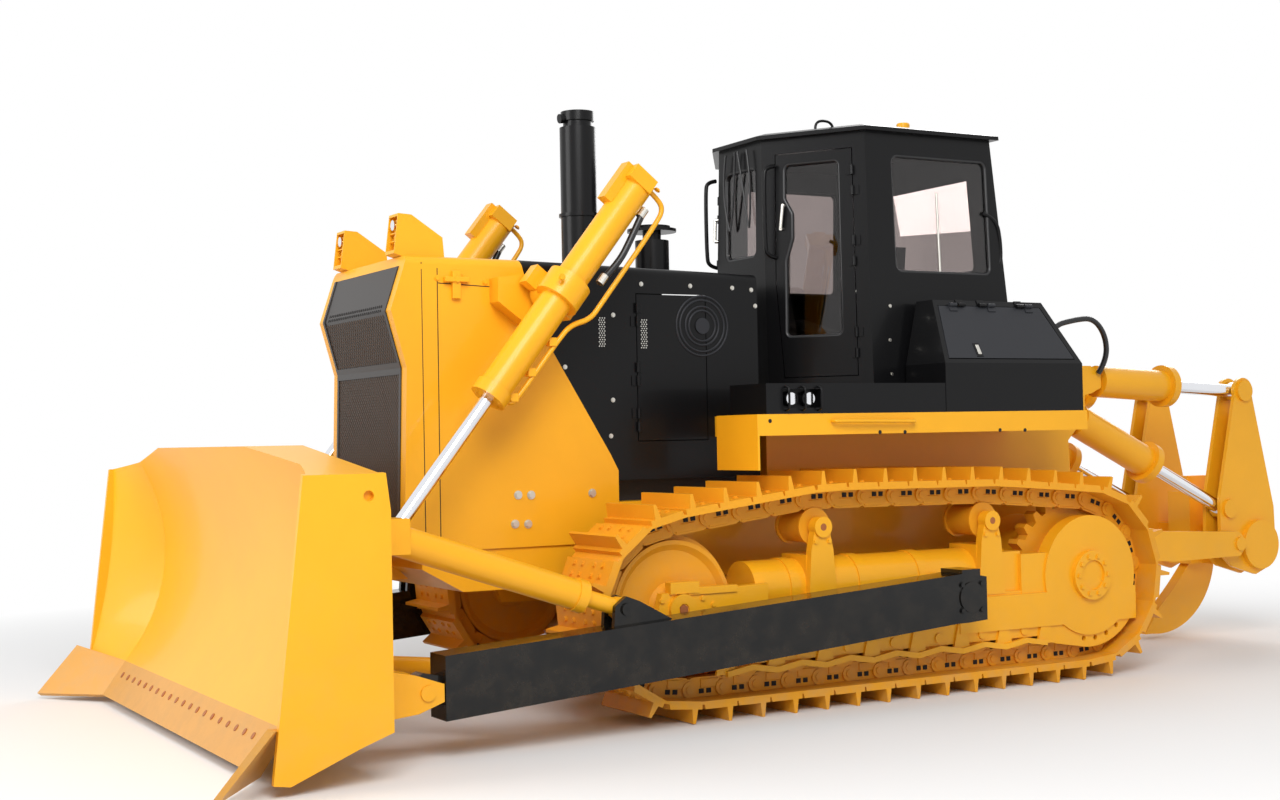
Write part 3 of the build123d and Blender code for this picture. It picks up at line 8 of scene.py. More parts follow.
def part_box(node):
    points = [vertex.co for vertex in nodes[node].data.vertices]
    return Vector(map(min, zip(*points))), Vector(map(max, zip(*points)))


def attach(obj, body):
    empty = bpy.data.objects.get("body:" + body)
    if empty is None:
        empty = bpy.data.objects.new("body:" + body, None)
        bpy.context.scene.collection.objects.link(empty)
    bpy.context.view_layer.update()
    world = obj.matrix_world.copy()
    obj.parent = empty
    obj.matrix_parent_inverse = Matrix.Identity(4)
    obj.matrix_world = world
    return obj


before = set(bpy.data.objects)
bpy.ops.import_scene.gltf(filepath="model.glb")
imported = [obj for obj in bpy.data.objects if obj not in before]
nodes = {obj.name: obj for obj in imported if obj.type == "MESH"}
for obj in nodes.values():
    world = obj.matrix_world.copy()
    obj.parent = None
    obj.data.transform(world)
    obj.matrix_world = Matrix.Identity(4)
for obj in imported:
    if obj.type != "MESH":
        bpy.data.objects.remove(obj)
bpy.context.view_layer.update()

# Camera: it stands where the photograph was taken from, worked out from the
# machine's known sizes. Its lens is a plain one with no shift.
CAMERA_SPOT = Vector((6.5001, 9.7675, 1.6245))
CAMERA_YAW = math.radians(240.4357)
CAMERA_PITCH = math.radians(1.2349)
CAMERA_ROLL = math.radians(-1.1314)
CAMERA_LENS = 48.9
CAMERA_SENSOR = 36
ahead = Vector((math.cos(CAMERA_YAW) * math.cos(CAMERA_PITCH),
                math.sin(CAMERA_YAW) * math.cos(CAMERA_PITCH), math.sin(CAMERA_PITCH)))
level_right = Vector((math.sin(CAMERA_YAW), -math.cos(CAMERA_YAW), 0))
level_up = level_right.cross(ahead)
right = level_right * math.cos(CAMERA_ROLL) + level_up * math.sin(CAMERA_ROLL)
up = level_up * math.cos(CAMERA_ROLL) - level_right * math.sin(CAMERA_ROLL)
camera_data = bpy.data.cameras.new("camera")
camera_data.lens = CAMERA_LENS
camera_data.sensor_width = CAMERA_SENSOR
camera_data.clip_end = 200
camera = bpy.data.objects.new("camera", camera_data)
camera.matrix_world = Matrix((right, up, -ahead)).transposed().to_4x4()
camera.location = CAMERA_SPOT
bpy.context.scene.collection.objects.link(camera)
bpy.context.scene.camera = camera
bpy.context.scene.view_settings.view_transform = "Standard"

# Studio: a pale floor that fades to white, under a white sky. One large soft lamp
# lights the machine from its front left, weaker ones from its nose and its rear.
FLOOR_GREY = 0.8
FLOOR_REACH = 60
FADE_START, FADE_END = 5.0, 9.0
SKY_STRENGTH = 0.5
floor_mesh = bmesh.new()
bmesh.ops.create_grid(floor_mesh, x_segments=1, y_segments=1, size=FLOOR_REACH)
floor_data = bpy.data.meshes.new("floor")
floor_mesh.to_mesh(floor_data)
floor_mesh.free()
floor = bpy.data.objects.new("floor", floor_data)
bpy.context.scene.collection.objects.link(floor)


def seen_directly(tree):
    """Mask that is 1 for camera, glossy and transmitted rays."""
    rays = tree.nodes.new("ShaderNodeLightPath")
    first = tree.nodes.new("ShaderNodeMath")
    first.operation = "MAXIMUM"
    tree.links.new(rays.outputs["Is Camera Ray"], first.inputs[0])
    tree.links.new(rays.outputs["Is Glossy Ray"], first.inputs[1])
    second = tree.nodes.new("ShaderNodeMath")
    second.operation = "MAXIMUM"
    tree.links.new(first.outputs[0], second.inputs[0])
    tree.links.new(rays.outputs["Is Transmission Ray"], second.inputs[1])
    return second.outputs[0]


floor_finish = bpy.data.materials.new("studio_floor")
floor_finish.use_nodes = True
floor_shader = floor_finish.node_tree.nodes["Principled BSDF"]
floor_shader.inputs["Base Color"].default_value = (FLOOR_GREY, FLOOR_GREY, FLOOR_GREY, 1)
floor_shader.inputs["Roughness"].default_value = 0.9
floor_shader.inputs["Specular IOR Level"].default_value = 0.1
floor_data.materials.append(floor_finish)
floor_tree = floor_finish.node_tree
floor_place = floor_tree.nodes.new("ShaderNodeTexCoord")
floor_far = floor_tree.nodes.new("ShaderNodeVectorMath")
floor_far.operation = "LENGTH"
floor_tree.links.new(floor_place.outputs["Object"], floor_far.inputs[0])
fade = floor_tree.nodes.new("ShaderNodeMapRange")
fade.inputs["From Min"].default_value = FADE_START
fade.inputs["From Max"].default_value = FADE_END
floor_tree.links.new(floor_far.outputs["Value"], fade.inputs["Value"])
faded = floor_tree.nodes.new("ShaderNodeMath")
faded.operation = "MULTIPLY"
floor_tree.links.new(fade.outputs["Result"], faded.inputs[0])
floor_tree.links.new(seen_directly(floor_tree), faded.inputs[1])
white = floor_tree.nodes.new("ShaderNodeEmission")
blend = floor_tree.nodes.new("ShaderNodeMixShader")
floor_tree.links.new(faded.outputs[0], blend.inputs["Fac"])
floor_tree.links.new(floor_shader.outputs["BSDF"], blend.inputs[1])
floor_tree.links.new(white.outputs["Emission"], blend.inputs[2])
floor_tree.links.new(blend.outputs["Shader"], floor_tree.nodes["Material Output"].inputs["Surface"])

world = bpy.data.worlds.new("studio")
world.use_nodes = True
bpy.context.scene.world = world
sky = world.node_tree.nodes["Background"]
sky.inputs["Color"].default_value = (1, 1, 1, 1)
mask = seen_directly(world.node_tree)
strength = world.node_tree.nodes.new("ShaderNodeMix")
strength.inputs["A"].default_value = SKY_STRENGTH
strength.inputs["B"].default_value = 1
world.node_tree.links.new(mask, strength.inputs["Factor"])
world.node_tree.links.new(strength.outputs["Result"], sky.inputs["Strength"])


def soft_lamp(name, spot, aim, size, watts):
    """Square area lamp at a spot, turned towards a point."""
    data = bpy.data.lights.new(name, "AREA")
    data.size = size
    data.energy = watts
    lamp = bpy.data.objects.new(name, data)
    lamp.location = spot
    lamp.rotation_euler = (Vector(aim) - Vector(spot)).to_track_quat("-Z", "Y").to_euler()
    bpy.context.scene.collection.objects.link(lamp)


soft_lamp("key_lamp", (5.5, 9.5, 8.5), (0, 0, 1.5), 6, 1100)
soft_lamp("nose_lamp", (11, -1, 5), (2, 0, 1.5), 5, 420)
soft_lamp("back_lamp", (-9, -6, 7), (0, 0, 1.5), 6, 500)

# Paint shop: paint, metal and rubber have slow colour drift, a faint bumpy skin and
# road dust that settles low down. Each finish is one call with its own strengths.
DUST_TOP = 1.3


def add_node(tree, kind, **values):
    """Node with its inputs or properties set by name."""
    node = tree.nodes.new(kind)
    for key, value in values.items():
        if key in node.inputs:
            node.inputs[key].default_value = value
        else:
            setattr(node, key, value)
    return node


def build_coat_group():
    """Group: drifted and dusted colour, roughness and a bumped normal for one coat of paint."""
    group = bpy.data.node_groups.new("painted_coat", "ShaderNodeTree")
    for name in ("Color", "Dust Color"):
        group.interface.new_socket(name, in_out="INPUT", socket_type="NodeSocketColor")
    for name in ("Dust", "Gloss", "Skin", "Skin Scale"):
        group.interface.new_socket(name, in_out="INPUT", socket_type="NodeSocketFloat")
    group.interface.new_socket("Color", in_out="OUTPUT", socket_type="NodeSocketColor")
    group.interface.new_socket("Roughness", in_out="OUTPUT", socket_type="NodeSocketFloat")
    group.interface.new_socket("Normal", in_out="OUTPUT", socket_type="NodeSocketVector")
    link = group.links.new
    given = group.nodes.new("NodeGroupInput")
    made = group.nodes.new("NodeGroupOutput")
    place = group.nodes.new("ShaderNodeTexCoord")
    drift = add_node(group, "ShaderNodeTexNoise", Scale=0.9, Detail=5.0, Roughness=0.6)
    link(place.outputs["Object"], drift.inputs["Vector"])
    shade = add_node(group, "ShaderNodeMapRange")
    shade.inputs["From Min"].default_value = 0.3
    shade.inputs["From Max"].default_value = 0.7
    shade.inputs["To Min"].default_value = 0.93
    shade.inputs["To Max"].default_value = 1.05
    link(drift.outputs["Fac"], shade.inputs["Value"])
    tone = add_node(group, "ShaderNodeHueSaturation")
    link(given.outputs["Color"], tone.inputs["Color"])
    link(shade.outputs["Result"], tone.inputs["Value"])
    parts = group.nodes.new("ShaderNodeSeparateXYZ")
    link(place.outputs["Object"], parts.inputs["Vector"])
    low = add_node(group, "ShaderNodeMapRange")
    low.inputs["From Min"].default_value = DUST_TOP
    low.inputs["From Max"].default_value = 0.0
    link(parts.outputs["Z"], low.inputs["Value"])
    patches = add_node(group, "ShaderNodeTexNoise", Scale=7.0, Detail=8.0, Roughness=0.65)
    link(place.outputs["Object"], patches.inputs["Vector"])
    patch_edge = add_node(group, "ShaderNodeMapRange")
    patch_edge.inputs["From Min"].default_value = 0.42
    patch_edge.inputs["From Max"].default_value = 0.68
    link(patches.outputs["Fac"], patch_edge.inputs["Value"])
    dusty = add_node(group, "ShaderNodeMath", operation="MULTIPLY")
    link(low.outputs["Result"], dusty.inputs[0])
    link(patch_edge.outputs["Result"], dusty.inputs[1])
    amount = add_node(group, "ShaderNodeMath", operation="MULTIPLY")
    link(dusty.outputs[0], amount.inputs[0])
    link(given.outputs["Dust"], amount.inputs[1])
    coat = add_node(group, "ShaderNodeMix", data_type="RGBA")
    link(amount.outputs[0], coat.inputs["Factor"])
    link(tone.outputs["Color"], coat.inputs[6])
    link(given.outputs["Dust Color"], coat.inputs[7])
    link(coat.outputs[2], made.inputs["Color"])
    rough = add_node(group, "ShaderNodeMath", operation="MULTIPLY_ADD")
    rough.inputs[1].default_value = 0.5
    link(amount.outputs[0], rough.inputs[0])
    link(given.outputs["Gloss"], rough.inputs[2])
    link(rough.outputs[0], made.inputs["Roughness"])
    peel = add_node(group, "ShaderNodeTexNoise", Detail=2.0)
    link(place.outputs["Object"], peel.inputs["Vector"])
    link(given.outputs["Skin Scale"], peel.inputs["Scale"])
    bump = add_node(group, "ShaderNodeBump", Distance=0.002)
    link(given.outputs["Skin"], bump.inputs["Strength"])
    link(peel.outputs["Fac"], bump.inputs["Height"])
    link(bump.outputs["Normal"], made.inputs["Normal"])
    return group


coat_group = build_coat_group()


def painted(name, colour, gloss, coat=0.0, coat_gloss=0.1, dust=0.2, dust_colour=(0.45, 0.33, 0.2),
            skin=0.08, skin_scale=90.0, metal=0.0, shine=0.5):
    """Material of one coat: colour and finish from the shared group, clear coat from the shader."""
    finish = bpy.data.materials.new(name)
    finish.use_nodes = True
    tree = finish.node_tree
    shader = tree.nodes["Principled BSDF"]
    group = tree.nodes.new("ShaderNodeGroup")
    group.node_tree = coat_group
    group.inputs["Color"].default_value = (*colour, 1)
    group.inputs["Dust Color"].default_value = (*dust_colour, 1)
    group.inputs["Dust"].default_value = dust
    group.inputs["Gloss"].default_value = gloss
    group.inputs["Skin"].default_value = skin
    group.inputs["Skin Scale"].default_value = skin_scale
    tree.links.new(group.outputs["Color"], shader.inputs["Base Color"])
    tree.links.new(group.outputs["Roughness"], shader.inputs["Roughness"])
    tree.links.new(group.outputs["Normal"], shader.inputs["Normal"])
    shader.inputs["Metallic"].default_value = metal
    shader.inputs["Specular IOR Level"].default_value = shine
    shader.inputs["Coat Weight"].default_value = coat
    shader.inputs["Coat Roughness"].default_value = coat_gloss
    return finish


yellow = painted("yellow_paint", (0.88, 0.41, 0.010), 0.38, coat=0.16, dust=0.08, shine=0.3)
track_yellow = painted("track_paint", (0.80, 0.345, 0.012), 0.45, coat=0.06, dust=0.3, skin=0.25,
                       skin_scale=45.0, shine=0.3)
black = painted("black_paint", (0.005, 0.005, 0.0055), 0.3, coat=0.06, coat_gloss=0.06, dust=0.05,
                shine=0.16)
lid_black = painted("lid_paint", (0.022, 0.023, 0.027), 0.45, dust=0.08, shine=0.25)
wet_black = painted("gloss_black", (0.004, 0.004, 0.004), 0.2, coat=0.3, coat_gloss=0.04, dust=0.05,
                    skin=0.35, skin_scale=14.0, shine=0.2)
rubber = painted("rubber", (0.010, 0.010, 0.011), 0.35, dust=0.05, skin=0.1, skin_scale=160.0)
mesh_black = painted("grille_mesh", (0.014, 0.010, 0.008), 0.45, coat=0.1, dust=0.3,
                     dust_colour=(0.12, 0.07, 0.03))
engine_grey = painted("dark_metal", (0.05, 0.05, 0.052), 0.6, dust=0.4, skin=0.5, skin_scale=30.0,
                      metal=0.4)
steel = painted("wear_steel", (0.62, 0.30, 0.05), 0.42, dust=0.3, skin=0.2, skin_scale=60.0)
zinc = painted("zinc_bolts", (0.62, 0.60, 0.55), 0.3, dust=0.2, skin=0.2, skin_scale=200.0, metal=1.0)
chrome = painted("chrome", (0.82, 0.83, 0.86), 0.09, coat=0.2, dust=0.05, skin=0.03, skin_scale=300.0,
                 metal=1.0)
seat_cloth = painted("seat_cover", (0.03, 0.03, 0.034), 0.85, dust=0.1, skin=0.8, skin_scale=420.0)
plastic = painted("trim_plastic", (0.045, 0.045, 0.047), 0.55, dust=0.1, skin=0.5, skin_scale=260.0)
# Painted shade: a dark brown for the shade seen through the grille's holes, and a near black for the
# shade in other holes, louvres, link windows and sheet gaps.
painted_shade_brown = painted("mesh_shade", (0.045, 0.022, 0.008), 0.7, dust=0.0, skin=0.1)
painted_shade_black = painted("shadow_black", (0.004, 0.003, 0.003), 0.8, dust=0.0, skin=0.1)
pin_brown = painted("pin_brown", (0.35, 0.10, 0.02), 0.6, dust=0.3, skin=0.4, skin_scale=120.0)


def clear_glass(name, tint, gloss):
    """Tinted sheet glass with plain transmission."""
    finish = painted(name, tint, gloss, dust=0.0, skin=0.0, skin_scale=3.0)
    shader = finish.node_tree.nodes["Principled BSDF"]
    shader.inputs["Transmission Weight"].default_value = 1
    shader.inputs["IOR"].default_value = 1.45
    return finish


tinted_glass = clear_glass("glass", (0.50, 0.45, 0.44), 0.01)

FINISHES = (
    (track_yellow, "track_left track_right sprockets idlers track_rollers carrier_rollers"),
    (tinted_glass, "cab_glass cab_door_glass_left cab_door_glass_right"),
    (wet_black, "push_arm_left push_arm_right"),
    (chrome, "lift_rods ripper_tilt_rods ripper_lift_rods"),
    (mesh_black, "grille"),
    (engine_grey, "engine_block"),
    (seat_cloth, "cab_seat"),
    (plastic, "cab_consoles"),
    (steel, "cutting_edge"),
    (black, "cab_shell cab_roof cab_door_left cab_door_right hood engine_door_left engine_door_right "
            "side_box_left side_box_right side_steps fuel_tank exhaust_stack precleaner"),
    (lid_black, "box_lid_left box_lid_right"),
)
painted_already = set()
for finish, names in FINISHES:
    for name in names.split():
        nodes[name].data.materials.clear()
        nodes[name].data.materials.append(finish)
        painted_already.add(name)
for name, node in nodes.items():
    if name not in painted_already:
        node.data.materials.clear()
        node.data.materials.append(yellow)

# Track fastenings: each chain link shows a pressed pin end, a strap and, on both rails,
# two windows filled with dark painted shade, and each shoe carries two rows of four bolt
# heads. Each chain wheel is given by its x from the sprocket, its z and the chain's radius.
SPROCKET_AT = -1.6725
TRACK_CENTRE = 1.07
RAIL_FACE = 0.11
SHOE_COUNT = 41
CHAIN_PHASE = 0.35
CHAIN_WHEELS = ((0.0, 0.668, 0.4956), (3.108, 0.645, 0.475), (2.126, 1.07, 0.173), (0.82, 1.056, 0.173))
LINK_BOSS_R, LINK_PIN_R = 0.047, 0.024
SHOE_FACE = 0.089
SHOE_BOLTS_ACROSS = (-0.17, -0.07, 0.07, 0.17)
SHOE_BOLTS_ALONG = (0.52, 0.80)


def chain_pins():
    """Track pin centres (x from the sprocket, z), evenly spaced round the pitch line."""
    runs = []
    for first, second in zip(CHAIN_WHEELS, CHAIN_WHEELS[1:] + CHAIN_WHEELS[:1]):
        run = Vector((second[0] - first[0], second[1] - first[1]))
        normal = math.atan2(run.y, run.x) - math.acos((first[2] - second[2]) / run.length)
        out = Vector((math.cos(normal), math.sin(normal)))
        start, end = Vector(first[:2]) + out * first[2], Vector(second[:2]) + out * second[2]
        runs.append((normal, start, end, second))
    stretches = []
    for index, (normal, start, end, wheel) in enumerate(runs):
        turn = (runs[(index + 1) % len(runs)][0] - normal) % (2 * math.pi)
        stretches.append(((end - start).length, start, end, wheel, normal, 0.0))
        stretches.append((turn * wheel[2], start, end, wheel, normal, turn))
    total = sum(stretch[0] for stretch in stretches)
    pins = []
    for count in range(SHOE_COUNT):
        left = (count + CHAIN_PHASE) * total / SHOE_COUNT
        for length, start, end, wheel, normal, turn in stretches:
            if left <= length:
                break
            left -= length
        if turn:
            angle = normal + turn * left / length
            pins.append(Vector(wheel[:2]) + wheel[2] * Vector((math.cos(angle), math.sin(angle))))
        else:
            pins.append(start.lerp(end, left / length))
    return pins


def finished(bm, name, body, finish, smooth=False):
    """Object made from a bmesh, riding on a body and finish."""
    data = bpy.data.meshes.new(name)
    bm.to_mesh(data)
    bm.free()
    if smooth:
        data.shade_smooth()
    data.materials.append(finish)
    piece = bpy.data.objects.new(name, data)
    bpy.context.scene.collection.objects.link(piece)
    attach(piece, body)


def turned(direction, spot):
    """Matrix that stands a shape's Z axis along a direction, at a spot."""
    return Matrix.Translation(spot) @ Vector(direction).to_track_quat("Z", "Y").to_matrix().to_4x4()


def disc(bm, spot, direction, radius, height, sides=12):
    """Short round bar whose middle is at the spot."""
    bmesh.ops.create_cone(bm, cap_ends=True, segments=sides, radius1=radius, radius2=radius, depth=height,
                          matrix=turned(direction, spot))


def brick(bm, spot, size, frame_turn=None, bevel=0.0):
    """Block of three sizes, turned by a matrix, with its edges rounded off if asked."""
    shape = Matrix.Diagonal((*size, 1))
    place = Matrix.Translation(spot)
    if frame_turn is not None:
        place = place @ frame_turn.to_4x4()
    made = bmesh.ops.create_cube(bm, size=1, matrix=place @ shape)
    if bevel:
        edges = dict.fromkeys(edge for vert in made["verts"] for edge in vert.link_edges)
        bmesh.ops.bevel(bm, geom=list(edges), offset=bevel, affect="EDGES", segments=2, profile=0.5,
                        material=-1)


def bolt(bm, spot, direction, radius):
    """Hexagon head with a washer under it; the spot is on the surface."""
    direction = Vector(direction).normalized()
    height = radius * 0.7
    disc(bm, Vector(spot) + direction * radius * 0.1, direction, radius * 1.3, radius * 0.3, 14)
    disc(bm, Vector(spot) + direction * height * 0.6, direction, radius, height, 6)


pins = chain_pins()
for side, name in ((1, "left"), (-1, "right")):
    links = bmesh.new()
    # The window pieces are painted shade: thin dark blocks where the link's openings show only shade.
    window_shade = bmesh.new()
    shoe_bolts = bmesh.new()
    for pin, following in zip(pins, pins[1:] + pins[:1]):
        run = following - pin
        along = run.normalized()
        out = Vector((along.y, -along.x))
        tilt = Matrix(((along.x, 0, out.x), (0, 1, 0), (along.y, 0, out.y)))
        for rail in (-1, 1):
            face = side * TRACK_CENTRE + rail * (RAIL_FACE + 0.001)
            pin_face = Vector((pin.x + SPROCKET_AT, face + rail * 0.004, pin.y))
            disc(links, pin_face, (0, 1, 0), LINK_BOSS_R, 0.016, 16)
            disc(links, pin_face + Vector((0, rail * 0.006, 0)), (0, 1, 0), LINK_PIN_R, 0.014, 12)
            spot = pin + run * 0.36 - out * 0.032
            brick(links, (spot.x + SPROCKET_AT, face, spot.y), (0.13, 0.012, 0.05), tilt, 0.004)
            for share in (0.40, 0.62):
                spot = pin + run * share + out * 0.012
                brick(window_shade, (spot.x + SPROCKET_AT, face, spot.y), (0.032, 0.006, 0.028), tilt, 0.002)
        for across in SHOE_BOLTS_ACROSS:
            for share in SHOE_BOLTS_ALONG:
                spot = pin + run * share + out * SHOE_FACE
                place = (spot.x + SPROCKET_AT, side * TRACK_CENTRE + across, spot.y)
                bolt(shoe_bolts, place, (out.x, 0, out.y), 0.014)
    finished(links, f"link_straps_{name}", "chassis", track_yellow)
    finished(window_shade, f"link_window_shade_{name}", "chassis", painted_shade_black)
    finished(shoe_bolts, f"shoe_bolts_{name}", "chassis", track_yellow)

# Grille: dark discs of painted shade stand for the staggered round holes in its two
# sheets and the two rows of louvres in its top plate. Each lies where a line from
# ahead meets the grille's front.
GRILLE_PANELS = ((1.20, 2.00), (2.09, 2.34))
GRILLE_HOLE_R = 0.0105
GRILLE_PITCH = 0.034
GRILLE_HALF = 0.495
LOUVRE_ROWS = (2.375, 2.40)
LOUVRE_COUNT = 28
LOUVRE_PITCH = 0.032


def front_spot(name, y, z):
    """Where a line along the machine, from ahead, first meets a node."""
    found, place, normal, _ = nodes[name].ray_cast(Vector((4, y, z)), Vector((-1, 0, 0)))
    return (place.copy(), normal.copy()) if found else None


# Painted shade in the grille's holes: one thin brown-black disc in each.
hole_shade = bmesh.new()
for low_z, high_z in GRILLE_PANELS:
    rows = int((high_z - low_z) / (GRILLE_PITCH * 0.5))
    columns = int(2 * GRILLE_HALF / GRILLE_PITCH)
    for row in range(rows + 1):
        for column in range(columns + 1 - row % 2):
            across = (column - columns / 2 + 0.5 * (row % 2)) * GRILLE_PITCH
            spot = front_spot("grille", across, low_z + (high_z - low_z) * row / rows)
            if spot:
                disc(hole_shade, spot[0], spot[1], GRILLE_HOLE_R, 0.003, 6)
finished(hole_shade, "grille_hole_shade", "chassis", painted_shade_brown)
# Painted shade in the louvres: one thin black disc in each.
louvre_shade = bmesh.new()
for z in LOUVRE_ROWS:
    for column in range(LOUVRE_COUNT):
        spot = front_spot("grille", (column - (LOUVRE_COUNT - 1) / 2) * LOUVRE_PITCH, z)
        if spot:
            disc(louvre_shade, spot[0], spot[1], 0.009, 0.004, 6)
finished(louvre_shade, "grille_louvre_shade", "chassis", painted_shade_black)

# Sheet fastenings: zinc hexagon bolts hold the sheets of nose, hood and cab, and dark
# discs of painted shade fill the fenders' round holes. Each sits on its sheet where the
# photograph has it.
PHOTO_WIDTH = 1280
PHOTO_MIDDLE = (640, 400)
FOCUS = camera_data.lens / camera_data.sensor_width * PHOTO_WIDTH
NOSE_BOLTS = ((518, 495), (531, 495), (515, 524), (528, 524), (592, 493))
HOOD_BOLTS = ((641, 284), (690, 286), (732, 288), (751, 290), (755, 306), (613, 315), (613, 400),
              (611, 436), (565, 367), (760, 367))
CAB_BOLTS = ((890, 306), (890, 340), (892, 374), (916, 315), (917, 362))
FENDER_HOLES = ((770, 421), (1000, 430), (1025, 430), (1055, 431), (880, 432), (905, 432))


def sheet_spot(pixel, *names):
    """Nearest hit of a pixel's ray on the named nodes: place and outward normal, or None."""
    aim = ahead * FOCUS + right * (pixel[0] - PHOTO_MIDDLE[0]) - up * (pixel[1] - PHOTO_MIDDLE[1])
    hits = [nodes[name].ray_cast(CAMERA_SPOT, aim.normalized()) for name in names]
    hits = [(place.copy(), normal.copy()) for found, place, normal, _ in hits if found]
    return min(hits, key=lambda hit: (hit[0] - CAMERA_SPOT).length) if hits else None


def side_spot(name, x, z):
    """Where a line across the machine, from its left, first meets a node (x from the sprocket)."""
    found, place, normal, _ = nodes[name].ray_cast(Vector((x + SPROCKET_AT, 3, z)), Vector((0, -1, 0)))
    return (place.copy(), normal.copy()) if found else None


def finished_pair(bm, name, body, finish, smooth=False):
    """A left-hand piece and its mirror image; SIDE in the body's name becomes each one's side."""
    other = bm.copy()
    bmesh.ops.scale(other, vec=(1, -1, 1), verts=other.verts)
    bmesh.ops.reverse_faces(other, faces=other.faces)
    for mesh, side in ((bm, "left"), (other, "right")):
        finished(mesh, f"{name}_{side}", body.replace("SIDE", side), finish, smooth)


for name, pixels, node, radius in (("nose_bolts", NOSE_BOLTS, "nose", 0.02),
                                   ("hood_bolts", HOOD_BOLTS, "hood", 0.011),
                                   ("cab_bolts", CAB_BOLTS, "cab_shell", 0.009)):
    heads = bmesh.new()
    for pixel in pixels:
        spot = sheet_spot(pixel, node)
        if spot:
            bolt(heads, spot[0], spot[1], radius)
    finished_pair(heads, name, "chassis", zinc)
# Painted shade in the fenders' round holes: thin black discs.
heads = bmesh.new()
for pixel in FENDER_HOLES:
    spot = sheet_spot(pixel, "fenders")
    if spot:
        disc(heads, spot[0], spot[1], 0.012, 0.004)
finished_pair(heads, "fender_hole_shade", "chassis", painted_shade_black)

# Panel joints: thin dark strips of painted shade lie in the gaps where the nose's folded
# sheets meet, and a bolted bracket and three knobs hold the hatch in its side.
JOINT_WIDTH = 0.005
NOSE_JOINTS = (((421, 262), (426, 545)), ((437, 268), (441, 546)), ((438, 283), (507, 288)))
LATCH_PIXEL = (455, 285)
HATCH_KNOBS = ((437, 278), (464, 277), (485, 282))
# Each joint is a thin black strip of painted shade laid along the gap.
gap_shade = bmesh.new()
for start_pixel, end_pixel in NOSE_JOINTS:
    start, end = sheet_spot(start_pixel, "nose"), sheet_spot(end_pixel, "nose")
    if start and end:
        run = end[0] - start[0]
        normal = start[1]
        axis = run.normalized()
        turn = Matrix((axis, normal.cross(axis), normal)).transposed()
        brick(gap_shade, (start[0] + end[0]) / 2, (run.length, JOINT_WIDTH, 0.003), turn)
finished_pair(gap_shade, "nose_joint_shade", "chassis", painted_shade_black)
latch = bmesh.new()
latch_spot = sheet_spot(LATCH_PIXEL, "nose")
if latch_spot:
    brick(latch, latch_spot[0] + Vector((0, 0.015, 0)), (0.05, 0.03, 0.16), None, 0.004)
    brick(latch, latch_spot[0] + Vector((0, 0.02, 0.03)), (0.15, 0.04, 0.03), None, 0.004)
    bolt(latch, latch_spot[0] + Vector((0, 0.03, 0.03)), (0, 1, 0), 0.018)
for pixel in HATCH_KNOBS:
    spot = sheet_spot(pixel, "nose")
    if spot:
        bolt(latch, spot[0], spot[1], 0.014)
finished_pair(latch, "hatch_latch", "chassis", yellow)

# Engine doors: each has a vent of four round ridges, a lock on a plate and, like
# the panel before it, a short patch of small louvre slots that shows bright.
DOOR_RING = (702, 326)
RING_RADII = (0.185, 0.16, 0.12, 0.095)
DOOR_LOCK = (718, 368)
VENT_TOPS = ((602, 318), (644, 320))
VENT_ROWS, VENT_COLUMNS = 14, 3


def tube(bm, points, radius, curved=True, closed=False):
    """Round bar or pipe swept through the points and added to a bmesh."""
    curve = bpy.data.curves.new("run", "CURVE")
    curve.dimensions = "3D"
    curve.bevel_depth = radius
    curve.bevel_resolution = 2
    curve.use_fill_caps = not closed
    spline = curve.splines.new("NURBS" if curved else "POLY")
    spline.points.add(len(points) - 1)
    for point, place in zip(spline.points, points):
        point.co = (*place, 1)
    spline.order_u = 3
    spline.use_endpoint_u = True
    spline.use_cyclic_u = closed
    spline.resolution_u = 8
    holder = bpy.data.objects.new("run", curve)
    mesh = bpy.data.meshes.new_from_object(holder)
    bm.from_mesh(mesh)
    bpy.data.objects.remove(holder)
    bpy.data.curves.remove(curve)
    bpy.data.meshes.remove(mesh)


rings = bmesh.new()
spot = sheet_spot(DOOR_RING, "engine_door_left")
if spot:
    for radius in RING_RADII:
        circle = [spot[0] + Vector((radius * math.cos(turn), 0, radius * math.sin(turn)))
                  for turn in (math.pi * step / 24 for step in range(48))]
        tube(rings, circle, 0.007, curved=False, closed=True)
    disc(rings, spot[0], (0, 1, 0), 0.05, 0.016, 32)
finished_pair(rings, "door_vent_ring", "engine_door_SIDE", lid_black)
locks = bmesh.new()
spot = sheet_spot(DOOR_LOCK, "engine_door_left")
if spot:
    brick(locks, spot[0], (0.11, 0.012, 0.065), None, 0.003)
    finished_pair(locks, "door_lock_plate", "engine_door_SIDE", black)
    locks = bmesh.new()
    disc(locks, spot[0] + Vector((0, 0.008, 0)), (0, 1, 0), 0.016, 0.016)
    finished_pair(locks, "door_lock", "engine_door_SIDE", zinc)
for index, (pixel, body) in enumerate(zip(VENT_TOPS, ("chassis", "engine_door_SIDE"))):
    slots = bmesh.new()
    spot = sheet_spot(pixel, "hood", "engine_door_left")
    if spot:
        for row in range(VENT_ROWS):
            for column in range(VENT_COLUMNS):
                shift = (column * 0.016 - 0.016 + 0.006 * (row % 2), 0.001, -row * 0.013)
                disc(slots, spot[0] + Vector(shift), (0, 1, 0), 0.0045, 0.004, 6)
    finished_pair(slots, f"louvre_patch_{index}", body, zinc)

